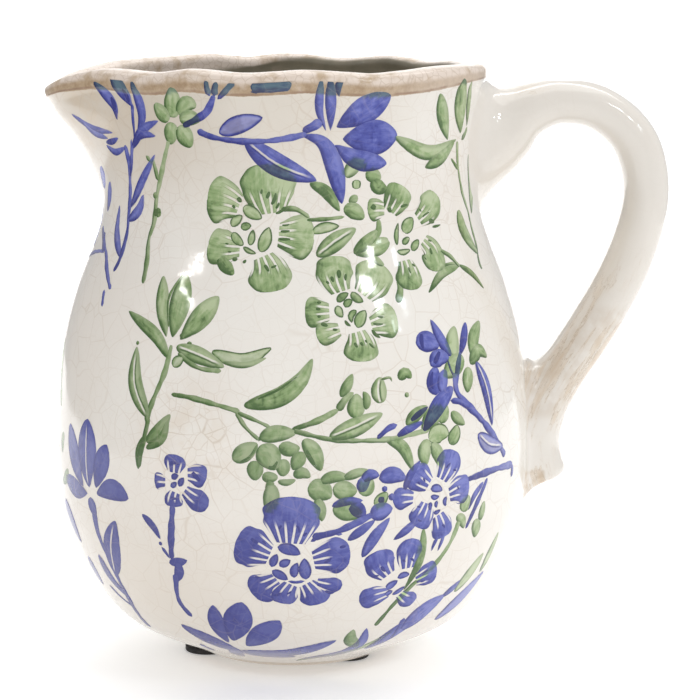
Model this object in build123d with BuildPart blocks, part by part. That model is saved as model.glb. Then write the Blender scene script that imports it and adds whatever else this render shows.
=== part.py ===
"""Printed ceramic pitcher: one hollow body with a pulled spout, a looped handle and three rest pads.

Millimetres, +Z up. The spout points to -X, the handle to +X and the pads' undersides lie on z = 0.
The origin is under the middle of the whole pitcher, so the vessel's own axis stands a little to -X.
"""
import os
from math import cos, exp, pi, radians, sin

from build123d import *

# Overall sizes
axis_x = -20.97
pad_thickness = 1.8
pad_radius = 7.2
rim_height = 190.8
rim_rounding = 2.6
wall = 5.2
floor_thickness = 7.0
lip_overhang = 3.0

# Half-profile of the outside: height above the underside of the foot, radius from the vessel's axis
outer_profile = [
    (0.0, 29.8),
    (1.0, 31.8),
    (2.5, 34.8),
    (5.0, 40.2),
    (8.0, 47.0),
    (11.0, 52.6),
    (14.0, 56.6),
    (18.0, 60.4),
    (25.0, 65.0),
    (36.0, 70.5),
    (50.0, 74.6),
    (65.0, 76.0),
    (80.0, 75.6),
    (95.0, 74.2),
    (108.0, 71.4),
    (120.0, 67.6),
    (131.0, 63.2),
    (141.0, 60.3),
    (150.0, 59.7),
    (158.0, 59.7),
    (166.0, 59.9),
    (174.0, 60.3),
    (182.0, 60.8),
    (189.0, 60.8),
]

# How far the spout is pulled out beyond the round neck at each height above the foot
spout_pull = [
    (128.0, 0.0),
    (134.0, -0.3),
    (141.0, -0.1),
    (150.0, 1.9),
    (158.0, 5.0),
    (166.0, 9.6),
    (174.0, 15.2),
    (182.0, 17.0),
    (200.0, 17.0),
]
spout_half_angle = 20.0

# Top edge of the rim: distance from the vessel's axis along X, drop below the highest crest
rim_crest = rim_height - pad_thickness
rim_line_back = [
    (-100.0, -15.0),
    (-77.0, -8.6),
    (-66.0, -3.6),
    (-54.0, -1.1),
    (-30.0, -0.1),
    (-13.0, -1.2),
    (-3.0, -0.3),
    (18.0, -1.6),
    (34.0, -0.6),
    (50.0, -1.8),
    (62.0, -1.0),
    (100.0, -1.0),
]
rim_line_front = [
    (-100.0, -15.0),
    (-77.0, -8.6),
    (-66.0, -3.6),
    (-54.0, -1.3),
    (-41.0, -1.7),
    (-28.0, -0.4),
    (-14.0, -1.3),
    (3.0, -0.4),
    (24.0, -1.6),
    (46.0, -0.3),
    (62.0, -0.8),
    (100.0, -0.8),
]

# Handle centre line: distance from the vessel's axis, height above the foot, width across Y,
# thickness, slope of the run in degrees
handle_run = [
    (50.0, 161.5, 35.0, 36.0, 4.0),
    (60.0, 164.0, 31.5, 30.2, 5.0),
    (66.6, 167.5, 28.0, 24.6, 3.0),
    (72.2, 171.5, 25.8, 19.0, 4.0),
    (77.8, 174.1, 24.3, 16.2, 4.0),
    (84.5, 175.7, 23.0, 14.9, 1.0),
    (93.0, 174.8, 22.3, 14.3, -13.0),
    (99.2, 172.2, 22.0, 14.2, -28.0),
    (105.4, 167.4, 21.6, 14.4, -44.0),
    (109.9, 160.7, 21.2, 14.6, -61.0),
    (112.3, 151.6, 21.0, 14.5, -81.0),
    (112.3, 142.1, 21.0, 14.5, -96.0),
    (109.8, 131.6, 21.0, 14.8, -104.0),
    (105.7, 120.8, 21.3, 15.1, -113.0),
    (99.6, 109.3, 22.0, 15.2, -120.0),
    (92.4, 97.8, 22.8, 15.1, -122.5),
    (85.8, 87.7, 23.8, 15.0, -120.0),
    (80.6, 78.0, 24.6, 15.8, -108.0),
    (77.7, 68.0, 25.0, 17.0, -91.0),
    (78.6, 59.6, 24.2, 17.4, -80.0),
    (79.9, 54.8, 22.6, 18.2, -76.0),
]
tail_rounding = 1.4

# Rest pads: place of each centre, measured from the vessel's axis
pad_places = {
    "pad_spout_side": (-28.0, -4.0),
    "pad_handle_front": (17.0, -12.5),
    "pad_handle_rear": (17.0, 22.0),
}


def at(table, height):
    """Straight-line reading of a table at a height."""
    for (low, first), (high, second) in zip(table, table[1:]):
        if height <= high:
            share = max(0.0, (height - low) / (high - low))
            return first + (second - first) * share
    return table[-1][1]


def ring(radius, pull, steps=48):
    """Points of one level section: a circle with the spout drawn out of it towards -X."""
    points = []
    for step in range(steps):
        turn = 2 * pi * step / steps
        away = abs(turn - pi) / radians(spout_half_angle)
        reach = radius + pull * exp(-(away ** 2) * 0.69)
        points.append((reach * cos(turn), reach * sin(turn)))
    return points


os.makedirs("parts", exist_ok=True)

# The outside of the vessel as a solid
with BuildPart() as outside:
    for height, radius in outer_profile:
        with BuildSketch(Plane((axis_x, 0, pad_thickness + height))):
            with BuildLine():
                Spline(ring(radius, at(spout_pull, height)), periodic=True)
            make_face()
    loft()

# The hollow: the same curve one wall in, drawn further in under the lip
inner_heights = [floor_thickness, 9.0, 13.0, 18.0, 26.0, 38.0, 52.0, 66.0, 82.0, 98.0]
inner_heights += [112.0, 124.0, 134.0, 144.0, 154.0, 162.0, 170.0, 177.0, 183.0, 190.0]
with BuildPart() as hollow:
    for height in inner_heights:
        below = max(0.0, 1.0 - (height - floor_thickness) / 8.0)
        lip = lip_overhang * max(0.0, min(1.0, (height - 166.0) / 14.0))
        radius = at(outer_profile, height) - wall - lip - 9.0 * below ** 2
        with BuildSketch(Plane((axis_x, 0, pad_thickness + height))):
            with BuildLine():
                Spline(ring(radius, 0.92 * at(spout_pull, height)), periodic=True)
            make_face()
    loft()

# Everything above the wavy rim line
with BuildPart() as above:
    for y, line in ((-75.0, rim_line_front), (0.0, None), (75.0, rim_line_back)):
        if line is None:
            line = [
                (front[0], 0.5 * (front[1] + back[1]))
                for front, back in zip(rim_line_front, rim_line_back)
            ]
        with BuildSketch(Plane((axis_x, y, 0), x_dir=(1, 0, 0), z_dir=(0, -1, 0))):
            with BuildLine():
                edge = Spline([(x, pad_thickness + rim_crest + dip) for x, dip in line])
                Polyline(edge @ 1, (100.0, 230.0), (-100.0, 230.0), edge @ 0)
            make_face()
    loft()

# The vessel
with BuildPart() as body:
    add(outside.part)
    add(hollow.part, mode=Mode.SUBTRACT)
    add(above.part, mode=Mode.SUBTRACT)
    rim_edges = body.edges().filter_by(lambda edge: edge.center().Z > 175)
    fillet(rim_edges, rim_rounding)
body.part.label = "body"
export_step(body.part, "parts/body.step")
print("body", body.part.volume, body.part.bounding_box())

# The handle: one strap that ends in a small turned-out tail, cut to the vessel's outside
with BuildPart() as handle:
    for x, z, width, thickness, slope in handle_run:
        run = (cos(radians(slope)), 0, sin(radians(slope)))
        place = Plane((axis_x + x, 0, pad_thickness + z), x_dir=(0, 1, 0), z_dir=run)
        with BuildSketch(place):
            Ellipse(width / 2, thickness / 2)
    loft()
    fillet(handle.edges().sort_by(Axis.Z)[0], tail_rounding)
    add(outside.part, mode=Mode.SUBTRACT)
handle.part.label = "handle"
export_step(handle.part, "parts/handle.step")
print("handle", handle.part.volume, handle.part.bounding_box(), len(handle.part.solids()))

# The rest pads
for name, (x, y) in pad_places.items():
    with BuildPart() as pad:
        with Locations((axis_x + x, y, pad_thickness / 2)):
            Cylinder(pad_radius, pad_thickness)
        fillet(pad.edges().filter_by(GeomType.CIRCLE).sort_by(Axis.Z)[0], 0.5)
    pad.part.label = name
    export_step(pad.part, "parts/" + name + ".step")
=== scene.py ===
"""Printed ceramic pitcher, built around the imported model: glazed vessel, handle, pads and floral print."""

from math import asin, ceil, cos, pi, radians, sin, sqrt

import bpy
import numpy as np
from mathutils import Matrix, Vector


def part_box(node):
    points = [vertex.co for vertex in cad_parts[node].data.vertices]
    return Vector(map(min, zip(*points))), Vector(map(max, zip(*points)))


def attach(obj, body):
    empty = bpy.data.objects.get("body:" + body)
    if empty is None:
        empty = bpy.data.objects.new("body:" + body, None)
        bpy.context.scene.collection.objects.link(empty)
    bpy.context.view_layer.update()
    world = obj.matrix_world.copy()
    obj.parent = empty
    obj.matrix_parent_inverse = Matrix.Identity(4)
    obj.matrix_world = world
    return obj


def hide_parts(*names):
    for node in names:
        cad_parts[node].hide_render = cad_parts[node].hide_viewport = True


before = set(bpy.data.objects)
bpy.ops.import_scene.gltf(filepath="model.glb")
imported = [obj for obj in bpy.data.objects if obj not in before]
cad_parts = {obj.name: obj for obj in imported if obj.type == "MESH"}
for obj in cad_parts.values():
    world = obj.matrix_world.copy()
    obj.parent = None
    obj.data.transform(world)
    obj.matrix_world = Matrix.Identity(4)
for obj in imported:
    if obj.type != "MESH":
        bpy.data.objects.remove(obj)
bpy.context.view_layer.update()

MM = 0.001

# Where the vessel stands in the frame
body_low, body_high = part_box("body")
AXIS_X = body_high[0] - (body_high[1] - body_low[1]) / 2
FOOT_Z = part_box("pad_spout_side")[1][2]
RIM_Z = (body_high[2] - FOOT_Z) / MM

# Half-profile of the outside: height above the foot, radius, in mm
PROFILE = np.array([
    (0.0, 29.8), (1.0, 31.8), (2.5, 34.8), (5.0, 40.2), (8.0, 47.0), (11.0, 52.6),
    (14.0, 56.6), (18.0, 60.4), (25.0, 65.0), (36.0, 70.5), (50.0, 74.6), (65.0, 76.0),
    (80.0, 75.6), (95.0, 74.2), (108.0, 71.4), (120.0, 67.6), (131.0, 63.2), (141.0, 60.3),
    (150.0, 59.7), (158.0, 59.7), (166.0, 59.9), (174.0, 60.3), (182.0, 60.8), (192.0, 60.8),
])
SPOUT = np.array([
    (0.0, 0.0), (128.0, 0.0), (134.0, -0.3), (141.0, -0.1), (150.0, 1.9), (158.0, 5.0),
    (166.0, 9.6), (174.0, 15.2), (182.0, 17.0), (192.0, 17.0),
])
SPOUT_HALF_ANGLE = radians(20)
WALL = 5.2
LIP = 3.0
FLOOR = 7.0

# Drop of the rim below its highest crest, along X, on the back and on the front
RIM_X = [-77, -66, -54, -41, -29, -14, -4, 3, 17, 24, 33, 46, 54, 62]
RIM_BACK = [8.6, 3.6, 1.1, 0.5, 0.1, 1.3, 0.3, 0.5, 1.7, 1.4, 0.6, 2.0, 1.1, 1.0]
RIM_FRONT = [8.6, 3.6, 1.3, 1.8, 0.4, 1.3, 0.8, 0.4, 1.2, 1.7, 1.2, 0.3, 0.5, 1.0]


def hermite(table, x):
    """Smooth curve through a table of (x, value) rows that doesn't overshoot."""
    xs, ys = table[:, 0], table[:, 1]
    step = np.diff(xs)
    slope = np.diff(ys) / step
    bend = np.zeros(len(xs))
    same = slope[:-1] * slope[1:] > 0
    low, high = slope[:-1], slope[1:]
    safe = np.where(same, low + high, 1.0)
    bend[1:-1] = np.where(same, 2 * low * high / safe, 0.0)
    bend[0], bend[-1] = slope[0], slope[-1]
    x = np.clip(np.asarray(x, dtype=float), xs[0], xs[-1])
    i = np.clip(np.searchsorted(xs, x) - 1, 0, len(xs) - 2)
    t = (x - xs[i]) / step[i]
    return (
        ys[i] * (1 + 2 * t) * (1 - t) ** 2
        + step[i] * bend[i] * t * (1 - t) ** 2
        + ys[i + 1] * t * t * (3 - 2 * t)
        + step[i] * bend[i + 1] * t * t * (t - 1)
    )


def smooth(low, high, x):
    """0 below low, 1 above high, easing between."""
    t = np.clip((np.asarray(x, dtype=float) - low) / (high - low), 0.0, 1.0)
    return t * t * (3 - 2 * t)


# phi is the angle round the axis from the front face, growing towards the handle, so the handle
# is at 90 degrees and the spout at -90.
def spout_share(phi):
    away = (np.asarray(phi, dtype=float) + pi / 2 + pi) % (2 * pi) - pi
    return np.exp(-((away / SPOUT_HALF_ANGLE) ** 2) * 0.69)


def outer_radius(phi, z):
    return hermite(PROFILE, z) + hermite(SPOUT, z) * spout_share(phi)


def inner_radius(phi, z):
    below = np.clip(1 - (z - FLOOR) / 8.0, 0, 1)
    lip = LIP * np.clip((z - 166.0) / 14.0, 0, 1)
    return hermite(PROFILE, z) - WALL - lip - 9 * below ** 2 + 0.92 * hermite(SPOUT, z) * spout_share(phi)


def skin_radius(phi, z):
    """Outside radius with the swelling of the rolled lip."""
    return outer_radius(phi, z) + 0.55 * smooth(7.4, 4.6, rim_top(phi) - z)


def rim_top(phi):
    """Height of the rim's crest at an angle."""
    phi = np.asarray(phi, dtype=float)
    x = (57 + 17 * spout_share(phi)) * np.sin(phi)
    back = hermite(np.array(list(zip(RIM_X, RIM_BACK)), dtype=float), x)
    front = hermite(np.array(list(zip(RIM_X, RIM_FRONT)), dtype=float), x)
    toward_back = smooth(-0.5, 0.5, -np.cos(phi))
    return RIM_Z - back * toward_back - front * (1 - toward_back)


def band_width(phi):
    """How far the brown of the rim reaches down from the crest."""
    return 6.9 - 2.2 * smooth(radians(40), radians(75), phi) - 2.4 * spout_share(phi)


def place(phi, radius, z):
    """World position in metres of points given round the vessel's axis in mm."""
    return np.stack([
        AXIS_X + radius * np.sin(phi) * MM,
        -radius * np.cos(phi) * MM,
        FOOT_Z + z * MM + 0 * radius,
    ], axis=-1)


# Length along the outside from the foot up, for drawing the print without stretching it
LEVELS = np.linspace(0.0, 192.0, 1921)
RISES = np.hypot(np.diff(LEVELS), np.diff(hermite(PROFILE, LEVELS)))
CLIMBS = np.concatenate([[0.0], np.cumsum(RISES)])


def climb_of(z):
    return np.interp(z, LEVELS, CLIMBS)


def height_of(climb):
    return np.interp(climb, CLIMBS, LEVELS)


# ---------------------------------------------------------------- materials


class Nodes:
    """A material's node tree with short calls for what every material here uses."""

    def __init__(self, name):
        self.material = bpy.data.materials.new(name)
        self.material.use_nodes = True
        self.tree = self.material.node_tree
        self.shader = self.tree.nodes["Principled BSDF"]
        self.place = self.make("ShaderNodeTexCoord").outputs["Object"]

    def make(self, kind, **settings):
        node = self.tree.nodes.new(kind)
        for key, value in settings.items():
            setattr(node, key, value)
        return node

    def feed(self, socket, value):
        if isinstance(value, bpy.types.NodeSocket):
            self.tree.links.new(value, socket)
        elif isinstance(value, tuple) and len(value) == 3 and socket.type == "RGBA":
            socket.default_value = (*value, 1.0)
        else:
            socket.default_value = value

    def math(self, operation, a, b=0.0, clamp=False):
        node = self.make("ShaderNodeMath", operation=operation, use_clamp=clamp)
        self.feed(node.inputs[0], a)
        self.feed(node.inputs[1], b)
        return node.outputs[0]

    def times(self, a, b):
        return self.math("MULTIPLY", a, b)

    def plus(self, a, b):
        return self.math("ADD", a, b)

    def minus(self, a, b):
        return self.math("SUBTRACT", a, b)

    def ramp(self, value, low, high, out_low=0.0, out_high=1.0):
        node = self.make("ShaderNodeMapRange", interpolation_type="SMOOTHSTEP")
        for index, entry in enumerate((value, low, high, out_low, out_high)):
            self.feed(node.inputs[index], entry)
        return node.outputs[0]

    def mix(self, share, a, b, blend="MIX"):
        node = self.make("ShaderNodeMix", data_type="RGBA", blend_type=blend, clamp_factor=True)
        self.feed(node.inputs[0], share)
        self.feed(node.inputs[6], a)
        self.feed(node.inputs[7], b)
        return node.outputs[2]

    def noise(self, size_mm, detail=3.0, rough=0.5, shift=0.0, warp=0.0):
        where = self.place
        if shift:
            moved = self.make("ShaderNodeVectorMath", operation="ADD")
            self.feed(moved.inputs[0], where)
            moved.inputs[1].default_value = (shift, shift * 0.7, -shift * 1.3)
            where = moved.outputs[0]
        node = self.make("ShaderNodeTexNoise")
        self.feed(node.inputs["Vector"], where)
        node.inputs["Scale"].default_value = 1000.0 / size_mm
        node.inputs["Detail"].default_value = detail
        node.inputs["Roughness"].default_value = rough
        node.inputs["Distortion"].default_value = warp
        return node.outputs[0]

    def drawn_noise(self, x, y, z, scale, detail, rough=0.5):
        """Noise over values of the surface's own, drawn out along whichever of them counts least."""
        where = self.make("ShaderNodeCombineXYZ")
        for socket, value in zip(where.inputs, (x, y, z)):
            self.feed(socket, value)
        node = self.make("ShaderNodeTexNoise")
        self.feed(node.inputs["Vector"], where.outputs[0])
        node.inputs["Scale"].default_value = scale
        node.inputs["Detail"].default_value = detail
        node.inputs["Roughness"].default_value = rough
        return node.outputs[0]

    def crackle(self, size_mm, width, wander=0.5):
        """1 on the fine cracks of a crazed glaze, 0 between them."""
        bend = self.make("ShaderNodeTexNoise")
        self.feed(bend.inputs["Vector"], self.place)
        bend.inputs["Scale"].default_value = 1000.0 / (size_mm * 1.6)
        bend.inputs["Detail"].default_value = 2.0
        push = self.make("ShaderNodeVectorMath", operation="MULTIPLY_ADD")
        self.feed(push.inputs[0], bend.outputs["Color"])
        push.inputs[1].default_value = (wander * size_mm * MM,) * 3
        self.feed(push.inputs[2], self.place)
        cells = self.make("ShaderNodeTexVoronoi", feature="DISTANCE_TO_EDGE")
        self.feed(cells.inputs["Vector"], push.outputs[0])
        cells.inputs["Scale"].default_value = 1000.0 / size_mm
        return self.ramp(cells.outputs["Distance"], 0.0, width / size_mm, 1.0, 0.0)

    def spot(self, x, y, z, radius_mm):
        """1 near a place given round the vessel's axis in mm, fading to 0 at the radius."""
        gap = self.make("ShaderNodeVectorMath", operation="DISTANCE")
        self.feed(gap.inputs[0], self.place)
        gap.inputs[1].default_value = (AXIS_X + x * MM, y * MM, FOOT_Z + z * MM)
        return self.ramp(gap.outputs["Value"], radius_mm * 0.15 * MM, radius_mm * MM, 1.0, 0.0)

    def values(self, name):
        """The three numbers that a mesh keeps at each point under a name."""
        node = self.make("ShaderNodeSeparateXYZ")
        self.feed(node.inputs[0], self.make("ShaderNodeAttribute", attribute_name=name).outputs["Vector"])
        return node.outputs[:3]

    def bump(self, height, distance_mm, strength=1.0, under=None):
        node = self.make("ShaderNodeBump")
        node.inputs["Strength"].default_value = strength
        node.inputs["Distance"].default_value = distance_mm * MM
        self.feed(node.inputs["Height"], height)
        if under is not None:
            self.feed(node.inputs["Normal"], under)
        return node.outputs[0]

    def finish(self, colour, roughness, normal=None, values=None):
        self.feed(self.shader.inputs["Base Color"], colour)
        self.feed(self.shader.inputs["Roughness"], roughness)
        if normal is not None:
            self.feed(self.shader.inputs["Normal"], normal)
        for name, value in (values or {}).items():
            self.shader.inputs[name].default_value = value
        return self.material


# Shader values of everything under the glaze
GLOSS = {"IOR": 1.5, "Coat Weight": 0.35, "Coat Roughness": 0.04}

# Glaze, its cracks and stains, its tea tint that in places is painted shade, and the oxide of the rim
GLAZE = (0.80, 0.77, 0.72)
GLAZE_WARM = (0.745, 0.69, 0.63)
CRACK = (0.52, 0.42, 0.32)
TAN = (0.60, 0.46, 0.31)
CREAM = (0.72, 0.62, 0.54)
TAWNY = (0.47, 0.348, 0.228)
BROWN = (0.330, 0.222, 0.126)
UMBER = (0.235, 0.130, 0.072)
GLAZE_TEA_AND_SHADE = (0.52, 0.44, 0.34)
# Each ink: pooled, plain, watery, and the factor where it lies over another colour
GREEN_INK = (0.036, 0.095, 0.018), (0.240, 0.345, 0.145), (0.445, 0.520, 0.315), (0.30, 0.42, 0.42)
BLUE_INK = (0.016, 0.020, 0.185), (0.060, 0.076, 0.350), (0.155, 0.178, 0.505), (0.55, 0.85, 0.36)
# Tea-coloured tint of the glaze, which in places is painted shade (under the front of the rim and round the
# spout), and brown stains of the glaze: place round the axis, reach, strength
TEA_TINT_AND_SHADE = [
    (-52, -34, 178, 46, 0.60),
    (-68, -14, 180, 26, 0.45),
    (-18, -58, 178, 50, 0.42),
    (16, -58, 184, 34, 0.25),
    (-58, -44, 25, 62, 0.34),
    (-8, -68, 18, 66, 0.24),
    (-76, -20, 90, 60, 0.16),
    (50, 50, 170, 50, 0.30),
]
STAINS = [
    (-32, -66, 82, 24, 0.5),
    (-24, -70, 74, 16, 0.35),
    (-62, -22, 172, 22, 0.85),
    (-70, -6, 176, 13, 0.5),
    (-50, -35, 178, 15, 0.3),
    (62, -22, 70, 14, 0.2),
    (34, 64, 90, 22, 0.4),
    (-40, 56, 60, 20, 0.3),
    (70, 12, 56, 12, 0.5),
]


def glaze_colour(n, crazing=1.0):
    """Off-white crazed glaze: cloudy, finely cracked, with tea-coloured stains that gather in the cracks, and
    a tea tint that also paints shade under the rim and round the spout.
    """
    cloud = n.noise(46, detail=3)
    fine = n.noise(3.2, detail=4, rough=0.6)
    colour = n.mix(n.ramp(cloud, 0.35, 0.72, 0.0, 0.55), GLAZE, GLAZE_WARM)
    # Tea tint, in places painted shade under the rim and round the spout
    for x, y, z, radius, strength in TEA_TINT_AND_SHADE:
        colour = n.mix(n.times(n.spot(x, y, z, radius), strength), colour, GLAZE_TEA_AND_SHADE)
    stain = None
    for x, y, z, radius, strength in STAINS:
        one = n.times(n.spot(x, y, z, radius), strength)
        stain = one if stain is None else n.math("MAXIMUM", stain, one)
    blotch = n.ramp(n.noise(9, detail=5, rough=0.62, warp=0.4), 0.36, 0.66)
    stain = n.times(stain, blotch)
    colour = n.mix(n.times(stain, 0.55), colour, TAN)
    colour = n.mix(n.ramp(fine, 0.60, 0.78, 0.0, 0.10), colour, TAN)
    wide = n.crackle(8.5, 0.24, 0.45)
    narrow = n.crackle(4.2, 0.17, 0.5)
    where = n.ramp(n.noise(34, detail=2, shift=0.31), 0.34, 0.62)
    lines = n.math("MAXIMUM", n.times(wide, 0.62), n.times(narrow, n.times(where, 0.50)))
    depth = n.plus(n.ramp(n.noise(24, detail=2, shift=0.8), 0.35, 0.7, 0.20, 0.66), stain)
    lines = n.math("MULTIPLY", lines, n.math("MULTIPLY", depth, crazing), clamp=True)
    return n.mix(lines, colour, CRACK), lines


def glaze_normal(n, lines=None):
    """Slow waves of a hand-dipped glaze, with an orange-peel grain and the cracks just felt."""
    waves = n.bump(n.noise(15, detail=1.5, rough=0.4), 0.55, 0.8)
    grain = n.bump(n.noise(2.2, detail=2), 0.03, 0.6, waves)
    if lines is None:
        return grain
    return n.bump(n.minus(1.0, lines), 0.03, 0.5, grain)


def vessel_material():
    n = Nodes("glazed_vessel")
    colour, lines = glaze_colour(n)
    band, below, foot = n.values("rim")
    # Inside: a thin grey-brown wash, painted dark for the shade inside the vessel
    wash = n.ramp(n.noise(12, detail=4, shift=0.5), 0.3, 0.7)
    shaded_inside_colour = n.mix(wash, (0.145, 0.128, 0.086), (0.235, 0.205, 0.145))
    blush = n.ramp(n.noise(16, detail=3, shift=1.4), 0.58, 0.72, 0, 0.5)
    shaded_inside_colour = n.mix(blush, shaded_inside_colour, (0.36, 0.29, 0.22))
    edge_wander = n.times(n.minus(n.noise(7, detail=4, shift=0.2), 0.5), 3.4)
    # The lip's pale colour reaches further down the inside at the back left: painted light for the reflection
    # there
    pale_and_lit_reach = n.plus(below, n.times(n.spot(-44, 30, 186, 62), 7.0))
    inside = n.ramp(n.plus(pale_and_lit_reach, n.times(edge_wander, 0.6)), -3.4, -5.6)
    # Rim: brown oxide brushed on the outside of the lip, worn pale on its top
    grit = n.noise(2.0, detail=5, rough=0.72, shift=0.9)
    oxide = n.mix(n.ramp(grit, 0.3, 0.7), BROWN, TAWNY)
    worn = n.ramp(n.noise(9, detail=5, rough=0.65, shift=2.1), 0.56, 0.72, 0.0, 0.5)
    worn = n.math("MAXIMUM", worn, n.times(n.spot(52, -34, 186, 44), 0.4))
    oxide = n.mix(worn, oxide, CREAM)
    line_place = n.plus(band, n.times(n.minus(n.noise(5, detail=3), 0.5), 0.10))
    off_line = n.math("ABSOLUTE", n.times(n.minus(line_place, 0.93), 11.0))
    lower_line = n.math("SUBTRACT", 1.0, off_line, clamp=True)
    broken = n.ramp(n.noise(7, detail=3, shift=0.6), 0.35, 0.6, 0.25, 0.85)
    oxide = n.mix(n.times(lower_line, broken), oxide, UMBER)
    pale = n.mix(n.ramp(n.noise(5, detail=4, shift=1.1), 0.45, 0.75), CREAM, TAWNY)
    pale = n.mix(n.times(n.crackle(2.6, 0.22), 0.3), pale, BROWN)
    top = n.ramp(n.plus(band, n.times(edge_wander, 0.05)), 0.64, 0.36)
    lip = n.mix(top, oxide, pale)
    ragged = n.plus(band, n.times(n.minus(n.noise(1.8, detail=4, rough=0.65), 0.5), 0.10))
    ragged = n.plus(ragged, n.times(n.minus(n.noise(14, detail=1, shift=0.4), 0.5), 0.12))
    on_lip = n.ramp(ragged, 1.02, 0.98)
    colour = n.mix(on_lip, colour, lip)
    colour = n.mix(inside, colour, shaded_inside_colour)
    # Foot: bare pale clay where the glaze is wiped off, with a stained edge
    clay = n.mix(n.noise(3, detail=4), (0.62, 0.54, 0.44), (0.72, 0.65, 0.56))
    colour = n.mix(n.ramp(n.plus(foot, n.times(edge_wander, 0.3)), 1.0, 2.2), colour, (0.50, 0.38, 0.27))
    colour = n.mix(n.ramp(n.plus(foot, n.times(edge_wander, 0.2)), 1.8, 2.8), colour, clay)
    rough = n.ramp(n.noise(6, detail=3, shift=0.7), 0.3, 0.7, 0.07, 0.14)
    dull = n.math("MAXIMUM", n.times(on_lip, 0.8), n.ramp(foot, 1.8, 2.8))
    rough = n.ramp(dull, 0.0, 1.0, rough, 0.42)
    rough_skin = n.bump(n.times(n.noise(1.6, detail=4, rough=0.7), dull), 0.16, 0.6, glaze_normal(n, lines))
    return n.finish(colour, rough, rough_skin, GLOSS)


def handle_material():
    n = Nodes("glazed_handle")
    colour, lines = glaze_colour(n, 0.3)
    colour = n.mix(0.6, colour, (0.67, 0.625, 0.57))
    # Warmer and lighter on the inner side of the loop: painted light bounced from the vessel
    colour = n.mix(n.times(n.spot(80, 0, 136, 40), 0.8), colour, (0.80, 0.73, 0.635))
    run, side, wear = n.values("strap")
    # Tea-coloured wear drawn out along the strap
    smear = n.drawn_noise(n.times(run, 0.028), n.times(side, 0.21), n.times(wear, 0.4), 1.6, 6.0, 0.62)
    patch = n.ramp(smear, 0.42, 0.68)
    thread = n.ramp(n.math("ABSOLUTE", n.minus(smear, 0.53)), 0.010, 0.0)
    colour = n.mix(n.times(n.times(wear, patch), 0.62), colour, TAN)
    colour = n.mix(n.times(n.times(wear, thread), 0.6), colour, BROWN)
    deep = n.times(n.ramp(wear, 0.9, 1.15), n.ramp(n.noise(5, detail=3), 0.3, 0.6))
    colour = n.mix(n.times(deep, 0.7), colour, TAWNY)
    rough = n.ramp(n.noise(6, detail=3, shift=0.7), 0.3, 0.7, 0.06, 0.12)
    return n.finish(colour, rough, glaze_normal(n, lines), GLOSS)


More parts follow.
